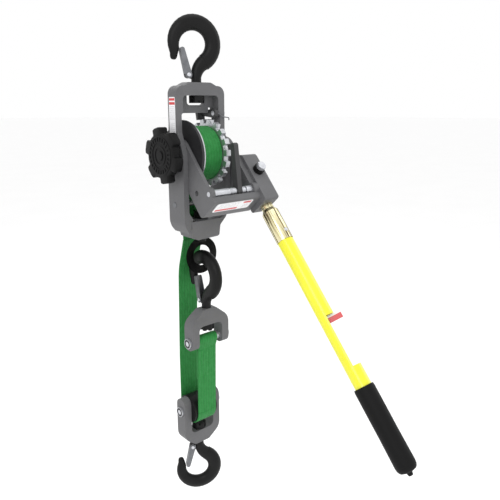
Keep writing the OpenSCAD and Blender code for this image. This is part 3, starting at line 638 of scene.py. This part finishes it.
FLOOR_Z = (cad_low.z - 0.28) / MM
floor_mesh = bmesh.new()
bmesh.ops.create_circle(floor_mesh, cap_ends=True, segments=96, radius=40 / MM)
floor_finish = Finish("pale_floor", Base_Color=(0.98, 0.98, 0.98, 1))
floor_tone = floor_finish.ramp(floor_finish.noise(3, detail=3.0), 0.2, 0.8)
floor_finish.set(
    Base_Color=floor_finish.mix(floor_tone, (0.965, 0.965, 0.965, 1), (0.985, 0.985, 0.985, 1)),
    Roughness=floor_finish.ramp(floor_tone, 0, 1, 0.8, 0.9),
)
bmesh.ops.transform(floor_mesh, matrix=Matrix.Scale(MM, 4) @ moved(0, 0, FLOOR_Z), verts=floor_mesh.verts)
floor_data = bpy.data.meshes.new("floor")
floor_mesh.to_mesh(floor_data)
floor_mesh.free()
floor_data.materials.append(floor_finish.material)
floor = bpy.data.objects.new("floor", floor_data)
bpy.context.scene.collection.objects.link(floor)


# --- castings and turned parts that keep the frame's shape ----------------------
for node, finish, slot, width in (
    ("lever_yoke", "cast_grey", "cast_grey", 1.5),
    ("dead_end_clevis", "cast_grey", "cast_grey", 2.6),
    ("block_clevis", "cast_grey", "cast_grey", 2.6),
    ("friction_disc", "dark_steel", "dark_steel", 0.5),
    ("drum_flange", "wheel_zinc", "zinc", 0.4),
    ("ratchet_wheel", "wheel_zinc", "zinc", 0.6),
    ("handwheel_cap", "black_plastic", "black_plastic", 1.0),
    ("holding_pawl", "pawl_grey", "dark_steel", 0.7),
    ("drive_pawl", "pawl_grey", "dark_steel", 0.7),
    ("sheave", "sheave_black", "sheave_black", 1.0),
    ("top_hook_nut", "forged_black", "forged_black", 0.7),
    ("anchor_eye_nut", "forged_black", "forged_black", 0.7),
    ("dead_end_nut", "forged_black", "forged_black", 0.7),
    ("load_hook_nut", "forged_black", "forged_black", 0.7),
    ("top_latch", "latch_zinc", "latch_zinc", 0.4),
    ("dead_end_latch", "latch_zinc", "latch_zinc", 0.4),
    ("load_latch", "latch_zinc", "latch_zinc", 0.4),
    ("handle_ferrule", "yellow_zinc", "yellow_zinc", 0.6),
    ("dead_end_pin", "zinc", "zinc", 0.8),
    ("block_pin", "zinc", "zinc", 0.8),
    ("guide_pin", "latch_zinc", "zinc", 0.8),
    ("holding_pawl_pin", "zinc", "zinc", 0.6),
    ("drive_pawl_pin", "zinc", "zinc", 0.6),
    ("drum_shaft", "zinc", "zinc", 0.8),
    ("pawl_pin_sleeves", "zinc", "zinc", 0.4),
    ("shaft_clip", "zinc", "zinc", 0.4),
):
    eased(node, finish, width)

# the lower edge of the left plate: it keeps its width further down than the right one
LEFT_FOOT = [(-46.1, -101), (-45.6, -107), (-43.5, -113.5), (-40, -120), (-36, -125), (-30, -130.5),
             (-24, -134), (-20, -135), (-15, -135)]
PLATE_END, WELL_FOOT, PLATE_INSIDE = -79.0, -104.5, -37.6
GUIDE_Y, GUIDE_BORE = 2.0, 6.0


def fuller_left_foot(bm):
    """Brings the left half of the foot's outline down to LEFT_FOOT."""
    for v in bm.verts:
        x, z = v.co.x, v.co.z - DRUM_Z
        if x > LEFT_FOOT[-1][0] or not (z < WELL_FOOT or (x < PLATE_INSIDE and z < PLATE_END)):
            continue
        if math.hypot(v.co.y - GUIDE_Y, z - GUIDE_Z) < GUIDE_BORE:
            continue
        for (x0, z0), (x1, z1) in zip(LEFT_FOOT, LEFT_FOOT[1:]):
            if x0 <= x <= x1:
                v.co.z = DRUM_Z + z0 + (z1 - z0) * (x - x0) / (x1 - x0)


def turned_notch(bm):
    """Turns the tube about its own axis, so the notch faces forward and to the left."""
    bmesh.ops.transform(bm, verts=bm.verts,
                        matrix=ALONG_HANDLE @ turned(NOTCH_TURN, "Z") @ ALONG_HANDLE.inverted())


eased("frame", "cast_grey", 1.8, reshape=fuller_left_foot)
eased("handle_tube", "yellow_paint", 0.5, reshape=turned_notch)

KNOB_X0, KNOB_THICK, KNOB_R = -OUTER_HALF - 25, 14, 43.0
KNOB_LOBES, KNOB_PHASE, KNOB_RIBS, RIB_R = 6, 17, 24, 24.5
# one lobe and the valley after it: degrees from the lobe's middle, depth below KNOB_R
KNOB_LOBE = ((-18.5, 8.5), (-15, 0.8), (-8, 0), (8, 0), (15, 0.8), (18.5, 8.5), (30, 8))
KNOB_RINGS = ((12.5, 15.0), (20.2, 21.6), (27.6, 29.4))
wheel = bmesh.new()
rim_points = [
    wheel.verts.new((KNOB_X0, out * math.cos(math.radians(a)), out * math.sin(math.radians(a))))
    for i in range(KNOB_LOBES)
    for a, out in ((360 / KNOB_LOBES * i + KNOB_PHASE + off, KNOB_R - depth)
                   for off, depth in KNOB_LOBE)
]
front_face = wheel.faces.new(rim_points)
thick = bmesh.ops.extrude_face_region(wheel, geom=[front_face])["geom"]
bmesh.ops.translate(wheel, vec=(KNOB_THICK, 0, 0),
                    verts=[g for g in thick if isinstance(g, bmesh.types.BMVert)])
bmesh.ops.bevel(wheel, geom=list(wheel.edges), offset=1.7, offset_type="OFFSET", segments=3,
                profile=0.5, affect="EDGES", clamp_overlap=True, material=-1)
rod(wheel, KNOB_X0 + KNOB_THICK - 0.5, -OUTER_HALF - 1.2, SHANK_R + 10.2, chamfer=0.6)
for inner, outer in KNOB_RINGS:
    lathe_ring = bmesh.new()
    lathe(lathe_ring, [(inner, 1), (inner, -0.5), (inner + 0.4, -0.9), (outer - 0.4, -0.9), (outer, -0.5),
                       (outer, 1), (inner, 1)], 72, "X")
    bmesh.ops.translate(lathe_ring, vec=(KNOB_X0, 0, 0), verts=lathe_ring.verts)
    ring_mesh = bpy.data.meshes.new("ring")
    lathe_ring.to_mesh(ring_mesh)
    lathe_ring.free()
    wheel.from_mesh(ring_mesh)
    bpy.data.meshes.remove(ring_mesh)
for k in range(KNOB_RIBS):
    rib = bmesh.ops.create_cube(wheel, size=1.0)["verts"]
    bmesh.ops.transform(wheel, verts=rib, matrix=moved(KNOB_X0, 0, 0) @ turned(360 // KNOB_RIBS * k, "X")
                        @ moved(0, 0, RIB_R) @ Matrix.Diagonal((1.7, 2.6, 6.6, 1)))
finished("handwheel_moulding", wheel, AT_DRUM, "drum", "black_plastic",
         ["handwheel"], crease=40)

for node, finish, slot in (
    ("frame_bushes", "bronze", "bronze"),
    ("drum_core", "dark_steel", "dark_steel"),
    ("shaft_spacer", "zinc", "zinc"),
    ("plunger_housing", "black_plastic", "black_plastic"),
    ("top_latch_pin", "zinc", "zinc"),
    ("dead_end_latch_pin", "zinc", "zinc"),
    ("load_latch_pin", "zinc", "zinc"),
):
    kept = frame["nodes"][node]
    kept.data.materials.clear()
    kept.data.materials.append(FINISHES[finish].material)


# --- hooks ----------------------------------------------------------------------
NECK_TURN, BOWL_X, BOWL_END, TIP_TURN = 58.0, -3.5, 196.0, 24.0
NECK_R = (BOWL_X + BOWL_R * math.cos(math.radians(NECK_TURN))) / (1 - math.cos(math.radians(NECK_TURN)))
NECK_Z = BOWL_Z - (BOWL_R + NECK_R) * math.sin(math.radians(NECK_TURN))
LATCH_X, LATCH_Z = -SHANK_R - 5, 11.0


def between(a, b, share):
    return a + (b - a) * share


def hook_stations(foot):
    """Places along the hook's middle line: x, z, heading, width, thickness."""
    rows = [(0, -foot, 90, 2 * SHANK_R - 1.2, 2 * SHANK_R - 1.2),
            (0, -foot + 0.8, 90, 2 * SHANK_R, 2 * SHANK_R),
            (0, -1.5, 90, 2 * SHANK_R, 2 * SHANK_R), (0, 0, 90, 2 * SHANK_R, 2 * SHANK_R)]
    for i in range(9):
        a, t = math.radians(NECK_TURN * i / 8), i / 9.3
        rows.append((NECK_R * (1 - math.cos(a)), NECK_Z + NECK_R * math.sin(a), 90 - NECK_TURN * i / 8,
                     between(2 * SHANK_R, BOWL_W + 1, t), between(2 * SHANK_R, BOWL_T - 1, t)))
    for i in range(25):
        a = between(-NECK_TURN, BOWL_END, i / 24)
        if a < 90:
            share = (a + NECK_TURN) / 150
            width, depth = between(BOWL_W + 1, BOWL_W, share), between(BOWL_T - 1, BOWL_T, share)
        else:
            share = (a - 90) / (BOWL_END - 90)
            width, depth = between(BOWL_W, BOWL_W * 0.66, share**1.4), between(BOWL_T, BOWL_T * 0.68, share)
        rows.append((BOWL_X + BOWL_R * math.cos(math.radians(a)),
                     BOWL_Z + BOWL_R * math.sin(math.radians(a)), a + 90, width, depth))
    heading = BOWL_END + 90 - TIP_TURN
    tip_x = BOWL_X + BOWL_R * math.cos(math.radians(BOWL_END))
    tip_z = BOWL_Z + BOWL_R * math.sin(math.radians(BOWL_END))
    for out, width, depth in ((6, 0.50, 0.55), (11, 0.44, 0.50), (13.6, 0.34, 0.40), (14.7, 0.19, 0.25)):
        rows.append((tip_x + out * math.cos(math.radians(heading)),
                     tip_z + out * math.sin(math.radians(heading)), heading,
                     BOWL_W * width, BOWL_T * depth))
    return rows


def forged_hook(key, foot):
    """A drop-forged hook with the lug that carries its latch."""
    bm = bmesh.new()
    stations = [
        moved(x, 0, z) @ turned(90 - heading, "Y")
        @ Matrix.Diagonal((width / 2, depth / 2, 1, 1))
        for x, z, heading, width, depth in hook_stations(foot)
    ]
    loft(bm, stations, 28)
    lug = bmesh.ops.create_circle(bm, cap_ends=True, segments=24, radius=5.0,
                                  matrix=moved(LATCH_X, 3.8, LATCH_Z) @ turned(90, "X"))["verts"]
    for v in lug:
        if v.co.x > LATCH_X + 1.5:
            v.co.z = LATCH_Z + (v.co.z - LATCH_Z) * 1.9
            v.co.x = 0
    cheek = list({f for v in lug for f in v.link_faces})
    wall = bmesh.ops.extrude_face_region(bm, geom=cheek)["geom"]
    bmesh.ops.translate(bm, vec=(0, -7.6, 0), verts=[g for g in wall if isinstance(g, bmesh.types.BMVert)])
    piece = finished(key + "_hook_forging", bm, HOOK_PLACES[key], HOOK_BODIES[key],
                     "forged_black", [key + "_hook"], crease=50)
    return piece


forged_hook("top", 31.0)
forged_hook("dead_end", 39.0)
forged_hook("load", 39.0)


def latch_spring(key):
    """Torsion spring beside each wall of the latch, and the rivet heads."""
    bm = bmesh.new()
    for side in (-1, 1):
        turns = [
            (LATCH_X + 3.1 * math.cos(a), side * 4.15, LATCH_Z + 3.1 * math.sin(a))
            for a in (math.radians(15 * k) for k in range(0, 25))
        ]
        leg = [(LATCH_X + 3.1 + 2.0 * k / 4, side * 4.15, LATCH_Z - 3.4 * k / 4) for k in range(1, 5)]
        wire(bm, turns + leg, 0.3, 8)
        rod_verts = bmesh.ops.create_uvsphere(bm, u_segments=20, v_segments=10, radius=3.3)["verts"]
        bmesh.ops.transform(bm, verts=rod_verts, matrix=moved(LATCH_X, side * 6.6, LATCH_Z)
                            @ Matrix.Diagonal((1, 0.42, 1, 1)))
    finished(key + "_latch_rivets", bm, HOOK_PLACES[key], HOOK_BODIES[key], "zinc")


for hook_key in HOOK_PLACES:
    latch_spring(hook_key)


# --- anchor eye -----------------------------------------------------------------
eye = bmesh.new()
ring_verts = bmesh.ops.create_circle(eye, segments=28, radius=EYE_WIRE_R,
                                     matrix=moved(EYE_RING_R, 0, 0) @ turned(90, "X"))["verts"]
ring_edges = list({e for v in ring_verts for e in v.link_edges})
bmesh.ops.spin(eye, geom=ring_verts + ring_edges, axis=(0, 1, 0), cent=(0, 0, 0),
               angle=2 * math.pi, steps=72, use_merge=True)
loft(eye, [moved(0, 0, z) @ Matrix.Diagonal((r, r, 1, 1)) for z, r in (
    (EYE_RING_R, SHANK_R), (EYE_RING_R + 5.5, SHANK_R), (EYE_RING_R + 8, SHANK_R - 0.1),
    (FOOT_Z + 10.3 - EYE_Z, SHANK_R - 0.1), (FOOT_Z + 11.2 - EYE_Z, SHANK_R - 0.9))], 32)
finished("anchor_eye_forging", eye, AT_DRUM @ moved(0, EYE_Y, EYE_Z), "anchor_eye",
         "forged_black", ["anchor_eye"])


# --- webbing --------------------------------------------------------------------
WEB_COLUMNS = 28


def webbing(name, path, body, replaces, closed=False, step=4.0, tails=()):
    """A length of webbing along a path of (y, z) points, with a UV in centimetres."""
    bm = bmesh.new()
    uv_layer = bm.loops.layers.uv.new("UVMap")
    for number, run in enumerate((path, *tails)):
        points = evenly(run, step)
        made = bmesh.ops.create_grid(bm, x_segments=WEB_COLUMNS, y_segments=len(points) - 1, size=0.5)
        verts = made["verts"]
        length = sum((b - a).length for a, b in zip(points, points[1:]))
        for face in {f for v in verts for f in v.link_faces}:
            for loop in face.loops:
                loop[uv_layer].uv = ((loop.vert.co.x + 0.5) * STRAP_W / 10,
                                     (loop.vert.co.y + 0.5) * length / 10 + 3.7 * number)
        for vert in verts:
            share = (vert.co.y + 0.5) * (len(points) - 1)
            k = min(int(share + 1e-6), len(points) - 2)
            here = points[k].lerp(points[k + 1], share - k)
            on = (points[min(k + 1, len(points) - 1)] - points[max(k, 0)]).normalized()
            across = vert.co.x + 0.5
            edge_dip = 0.18 * (max(0.0, abs(across - 0.5) - 0.44) / 0.06) ** 2
            off = Vector((-on.y, on.x)) * (0.10 * math.cos(across * 2 * math.pi * 7) - edge_dip)
            vert.co = (STRAP_X[0] + across * STRAP_W, here.x + off.x, here.y + off.y)
    piece = finished(name, bm, AT_DRUM, body, "green_web", replaces, crease=60, recalc=False)
    wall = piece.modifiers.new("thickness", "SOLIDIFY")
    wall.thickness, wall.offset = STRAP_T * MM, 0.0
    edge = piece.modifiers.new("selvedge", "BEVEL")
    edge.width, edge.segments = 0.55 * MM, 2
    edge.limit_method, edge.angle_limit = "ANGLE", math.radians(60)
    return piece


RUN_R = WOUND_R + 0.4 + STRAP_T / 2
upper_path = (
    [Vector((RUN_R * math.cos(a), -RUN_R * math.sin(a))) for a in
     (math.radians(d) for d in range(-8, 25, 2))]
    + [Vector((RUN_FOOT_Y + 30 * (1 - math.cos(a)), GUIDE_Z - 2 + 30 * math.sin(a))) for a in
       (math.radians(d) for d in range(24, -1, -2))]
    + [Vector((RUN_FOOT_Y, RUN_FOOT_Z + 0.5))]
)
LEG_Y = BIGHT_R + STRAP_T / 2
back_path = rounded_path([(RUN_FOOT_Y, RUN_FOOT_Z, 0), (DEAD_Y + BOWL_R + BOWL_W - 8, EYE_Z - 30, 120),
                          (BLOCK_Y + LEG_Y, -BLOCK_DROP + 90, 300), (BLOCK_Y + LEG_Y, -BLOCK_DROP, 0)])
LOOP_R = PIN_R + 0.05 + STRAP_T / 2
LEG_TOP = (DEAD_Y - PIN_R * 0.4, DEAD_PIN_Z - PIN_R - 9)
front_path = rounded_path([(*LEG_TOP, 0), (BLOCK_Y - LEG_Y, -BLOCK_DROP + 12, 40),
                           (BLOCK_Y - LEG_Y, -BLOCK_DROP, 0)])
tail_path = [point + Vector((STRAP_T + 0.1, 0)) for point in evenly(front_path, 4.0)[:15]]
loop_path = (
    [Vector((LEG_TOP[0], LEG_TOP[1] - 0.5))]
    + [Vector((DEAD_Y + LOOP_R * math.cos(a), DEAD_PIN_Z + LOOP_R * math.sin(a))) for a in
       (math.radians(d) for d in range(186, -22, -6))]
    + [Vector((LEG_TOP[0] + STRAP_T + 0.1, LEG_TOP[1] - 0.5))]
)
bight_path = [Vector((BLOCK_Y + LEG_Y * math.cos(a), -BLOCK_DROP + LEG_Y * math.sin(a))) for a in
              (math.radians(d) for d in range(0, -181, -5))]

webbing("strap_upper_run_web", upper_path, "root", ["strap_upper_run"])
back_leg = webbing("strap_back_leg_web", back_path, "root", ["strap_back_leg"])
front_leg = webbing("strap_front_leg_web", front_path, "root", ["strap_front_leg"], tails=(tail_path,))
webbing("strap_end_loop_web", loop_path, "root", ["strap_end_loop"], step=2.0)
webbing("strap_bight_web", bight_path, "block", ["strap_bight"], step=2.5)


def stitches(name, body):
    """Rows of stitching that close the sewn end, down the front of the strap."""
    bm = bmesh.new()
    rows = [STRAP_X[0] + STRAP_W * share for share in (0.10, 0.30, 0.50, 0.70, 0.90)]
    points = evenly(front_path, 2.0)
    for x in rows:
        for k in range(2, 26):
            here, on = points[k], points[k + 1]
            middle = (here + on) / 2
            stitch = bmesh.ops.create_uvsphere(bm, u_segments=6, v_segments=5, radius=1.0)["verts"]
            bmesh.ops.transform(bm, verts=stitch,
                                matrix=moved(x, middle.x - STRAP_T / 2 - 0.1, middle.y)
                                @ Matrix.Diagonal((0.34, 0.16, 0.85, 1)))
    return finished(name, bm, AT_DRUM, body, "thread")


stitching = stitches("strap_stitching", "root")

for leg, top_z in ((back_leg, RUN_FOOT_Z), (front_leg, LEG_TOP[1]), (stitching, LEG_TOP[1])):
    span = top_z + BLOCK_DROP
    (DRUM_Z + top_z) * MM
    (span - BLOCK_TRAVEL) / span
    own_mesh(leg)


def wound_webbing():
    """The strap on the drum: edges of the wraps at the sides, the outer wrap round them."""
    bm = bmesh.new()
    wraps = round((WOUND_R - CORE_R) / (STRAP_T + 0.1))
    pitch = (WOUND_R - CORE_R) / wraps
    side = []
    for k in range(wraps):
        r = CORE_R + pitch * k
        shift = random.uniform(-0.25, 0.1)
        side += [(r + 0.05, -1.0), (r + pitch * 0.22, -0.1 + shift), (r + pitch * 0.5, shift),
                 (r + pitch * 0.78, -0.1 + shift)]
    side[-1] = (WOUND_R - 0.45, -0.12)
    left = [(r, STRAP_X[0] + 0.15 - min(s, 0)) for r, s in side]
    right = [(r, STRAP_X[1] - 0.15 + min(s, 0)) for r, s in side]
    outer = []
    for k in range(29):
        across = k / 28
        edge_dip = 0.25 * (max(0.0, abs(across - 0.5) - 0.44) / 0.06) ** 2
        outer.append((WOUND_R - 0.15 + 0.1 * math.cos(across * 2 * math.pi * 7) - edge_dip,
                      STRAP_X[0] + 0.35 + across * (STRAP_W - 0.7)))
    outline = left + outer + right[::-1] + [left[0]]
    verts = [bm.verts.new((x, 0, r)) for r, x in outline[:-1]]
    edges = [bm.edges.new((verts[i], verts[(i + 1) % len(verts)])) for i in range(len(verts))]
    bmesh.ops.spin(bm, geom=verts + edges, axis=(1, 0, 0), cent=(0, 0, 0), angle=2 * math.pi,
                   steps=120, use_merge=True)
    bmesh.ops.remove_doubles(bm, verts=bm.verts, dist=1e-4)
    uv_layer = bm.loops.layers.uv.new("UVMap")
    for face in bm.faces:
        middle = face.calc_center_median()
        at = math.atan2(middle.y, middle.z)
        for loop in face.loops:
            co = loop.vert.co
            a = at + (math.atan2(co.y, co.z) - at + math.pi) % (2 * math.pi) - math.pi
            loop[uv_layer].uv = ((co.x - STRAP_X[0]) / 10, a * WOUND_R / 10)
    return finished("wound_webbing", bm, AT_DRUM, "drum", "green_web",
                    ["wound_strap"], crease=40)


wound_webbing()


# --- labels -----------------------------------------------------------------------
def plate(name, width, height, radius, thick, place, body, finish, replaces):
    """A thin printed plate with rounded corners, lying in its own X and Y."""
    bm = bmesh.new()
    uv_layer = bm.loops.layers.uv.new("UVMap")
    verts = bmesh.ops.create_grid(bm, x_segments=1, y_segments=1, size=0.5)["verts"]
    bmesh.ops.scale(bm, vec=(width, height, 1), verts=verts)
    bmesh.ops.bevel(bm, geom=verts, offset=radius, offset_type="OFFSET", segments=6, profile=0.5,
                    affect="VERTICES", clamp_overlap=True, material=-1)
    faces = list(bm.faces)
    raised = bmesh.ops.extrude_face_region(bm, geom=faces)["geom"]
    bmesh.ops.translate(bm, vec=(0, 0, thick),
                        verts=[g for g in raised if isinstance(g, bmesh.types.BMVert)])
    for face in bm.faces:
        for loop in face.loops:
            loop[uv_layer].uv = (loop.vert.co.x / width + 0.5, loop.vert.co.y / height + 0.5)
    return finished(name, bm, place, body, finish, replaces, crease=30)


plate("side_label_plate", 16, 60, 2.4, 0.5,
      AT_DRUM @ moved(-OUTER_HALF, 0, FRAME_TOP - 52) @ turned(-90, "Z") @ turned(90, "X"),
      "root", "side_label", ["side_label"])
YOKE_LABEL_X = (ARM_X1 + 2, RIGHT_ARM_X0 - 4)
plate("yoke_label_plate", YOKE_LABEL_X[1] - YOKE_LABEL_X[0], 22.5, 3.5, 0.5,
      IN_LEVER @ moved(sum(YOKE_LABEL_X) / 2, -9.25, -YOKE_LEN) @ turned(180, "X"),
      "lever", "yoke_label", ["yoke_label"])

plate("handle_tag", 22, 12, 1.0, 0.8,
      ALONG_HANDLE @ turned(NOTCH_TURN, "Z") @ moved(0.4, -12, NOTCH_S0 + 6)
      @ turned(-90, "Z") @ turned(90, "X"),
      "lever", "red_label", ["handle_label"])


# --- lever trim ---------------------------------------------------------------------
def coil(bm, x0, x1, inner, wire_r, turns, sides=10):
    """A helical spring round the X axis."""
    steps = turns * 20
    start = bmesh.ops.create_circle(bm, segments=sides, radius=wire_r, cap_ends=True,
                                    matrix=moved(x0 + wire_r, 0, inner + wire_r) @ turned(90, "X"))["verts"]
    faces = list({f for v in start for f in v.link_faces})
    bmesh.ops.spin(bm, geom=start + faces + list({e for v in start for e in v.link_edges}),
                   axis=(1, 0, 0), cent=(0, 0, 0),
                   dvec=((x1 - x0 - 2 * wire_r) / steps, 0, 0), angle=2 * math.pi * turns, steps=steps)


springs = bmesh.new()
coil(springs, RATCHET_X[0] - 14.0, RATCHET_X[0] - 0.8, PAWL_PIN_R + 0.1, 0.85, 6)
coil(springs, RATCHET_X[1] + 0.6, RATCHET_X[1] + 9.2, PAWL_PIN_R + 0.1, 0.85, 4)
finished("pawl_coil_springs", springs, AT_DRIVE_PIN, "lever", "zinc", ["pawl_springs"], crease=60)

knob = bmesh.new()
lathe(knob, [(0, 4.5), (4, 4.5), (4, 17), (6.6, 17), (7.3, 17.7), (7.3, 23.4), (6.6, 24.3),
             (2.4, 24.5), (0, 24.3)], 60)
for v in knob.verts:
    reach = math.hypot(v.co.x, v.co.y)
    if reach > 7.0 and round(math.degrees(math.atan2(v.co.y, v.co.x)) / 6) % 2:
        v.co.x *= 1 - 0.035
        v.co.y *= 1 - 0.035
finished("plunger_knob", knob, AT_PLUNGER, "plunger", "zinc", ["plunger"], crease=30)

rivet = bmesh.new()
dome = bmesh.ops.create_uvsphere(rivet, u_segments=24, v_segments=12, radius=3.4)["verts"]
bmesh.ops.transform(rivet, verts=dome, matrix=Matrix.Diagonal((1, 1, 0.42, 1)))
finished("ferrule_rivet_head", rivet,
         ALONG_HANDLE @ moved(0, 0, RIVET_S) @ turned(90, "X") @ moved(0, 0, TUBE_R + 0.7),
         "lever", "zinc", ["ferrule_rivet"], crease=60)

grip = bmesh.new()
GRIP_S0 = HANDLE_END - GRIP_LEN
lathe(grip, [(TUBE_R + 0.05, GRIP_S0 + 0.6), (TUBE_R + 0.6, GRIP_S0), (TUBE_R + 1.9, GRIP_S0),
             (TUBE_R + 2.3, GRIP_S0 + 0.7), (TUBE_R + 2.8, GRIP_S0 + 4), (TUBE_R + 2.7, GRIP_S0 + 40),
             (TUBE_R + 2.5, GRIP_S0 + 70), (TUBE_R + 2.8, HANDLE_END - 12), (TUBE_R + 2.3, HANDLE_END - 7.5),
             (TUBE_R + 0.8, HANDLE_END - 4.2), (TUBE_R - 1.5, HANDLE_END - 2), (8, HANDLE_END - 0.9),
             (5, HANDLE_END), (4.3, HANDLE_END + 0.6), (3.6, HANDLE_END + 3.9), (2.6, HANDLE_END + 4.8),
             (0, HANDLE_END + 5), (0, HANDLE_END - 3.2), (TUBE_R + 0.05, HANDLE_END - 3.2),
             (TUBE_R + 0.05, GRIP_S0 + 0.6)], 72)
finished("handle_grip_sleeve", grip, ALONG_HANDLE, "lever", "black_rubber",
         ["handle_grip"], crease=40)


# --- wires and cotters ----------------------------------------------------------------
trip = bmesh.new()
WIRE_Y = -HEAD_D / 2 - 4
wire(trip, [(31, HOLD_Y - 5.5, HOLD_Z), (31.0, HOLD_Y - 7, HOLD_Z), (31.6, WIRE_Y + 1.4, HOLD_Z - 0.3),
            (32.8, WIRE_Y + 0.4, HOLD_Z - 1), (36, WIRE_Y, HOLD_Z - 4), (40, WIRE_Y, HOLD_Z - 5.6),
            (46, WIRE_Y, HOLD_Z - 6.4), (50.2, WIRE_Y, HOLD_Z - 6.8), (51.4, WIRE_Y, HOLD_Z - 7.4),
            (51.9, WIRE_Y, HOLD_Z - 8.8), (52, WIRE_Y, HOLD_Z - 11)], 0.85, 14)
finished("release_wire_bent", trip, AT_DRUM, "holding_pawl", "latch_zinc", ["release_wire"],
         crease=50)


def split_pin(name, place, body, replaces, length):
    """A cotter: an eye of round wire, two legs through the hole, their ends splayed apart."""
    bm = bmesh.new()
    for side in (-1, 1):
        legs = [(side * 2.0 * math.sin(math.radians(a)), 0, 2.3 - 2.3 * math.cos(math.radians(a)) + 1)
                for a in range(180, 19, -20)]
        legs += [(side * 0.45, 0, 0.4), (side * 0.45, 0, -length / 2), (side * 0.5, 0, -length + 2),
                 (side * 1.6, 0, -length + 0.4), (side * 3.2, 0, -length)]
        wire(bm, legs, 0.55, 10)
    finished(name, bm, place, body, "zinc", replaces, crease=50)


COTTER_X = CLEVIS_W / 2 + 3
split_pin("dead_end_split_pin", AT_DRUM @ moved(COTTER_X, DEAD_Y, DEAD_PIN_Z + PIN_R + 1) @ turned(90, "Z"),
          "root", ["dead_end_cotter"], 17)
split_pin("block_split_pin", AT_DRUM @ moved(COTTER_X + STRAP_MID_X, BLOCK_Y, -BLOCK_DROP + PIN_R + 1)
          @ turned(90, "Z"), "block", ["block_cotter"], 17)


def pin_groove_shade_ring(name, body, place):
    """A dark ring round the bright centre of a clevis pin's head: painted shade standing for the groove
    there.
    """
    bm = bmesh.new()
    lathe(bm, [(4.3, -0.6), (4.3, 0.15), (4.7, 0.3), (7.1, 0.3), (7.5, 0.15), (7.5, -0.6), (4.3, -0.6)],
          48, "X")
    finished(name, bm, place, body, "dark_steel", crease=40)


# painted shade: a dark ring on each clevis pin head where a groove's shade would fall
pin_groove_shade_ring("dead_end_pin_groove_shade", "root",
              AT_DRUM @ moved(-CLEVIS_W / 2 - 3.5, DEAD_Y, DEAD_PIN_Z) @ turned(180, "Z"))
pin_groove_shade_ring("block_pin_groove_shade", "block",
              AT_DRUM @ moved(STRAP_MID_X - CLEVIS_W / 2 - 3.5, BLOCK_Y, -BLOCK_DROP) @ turned(180, "Z"))
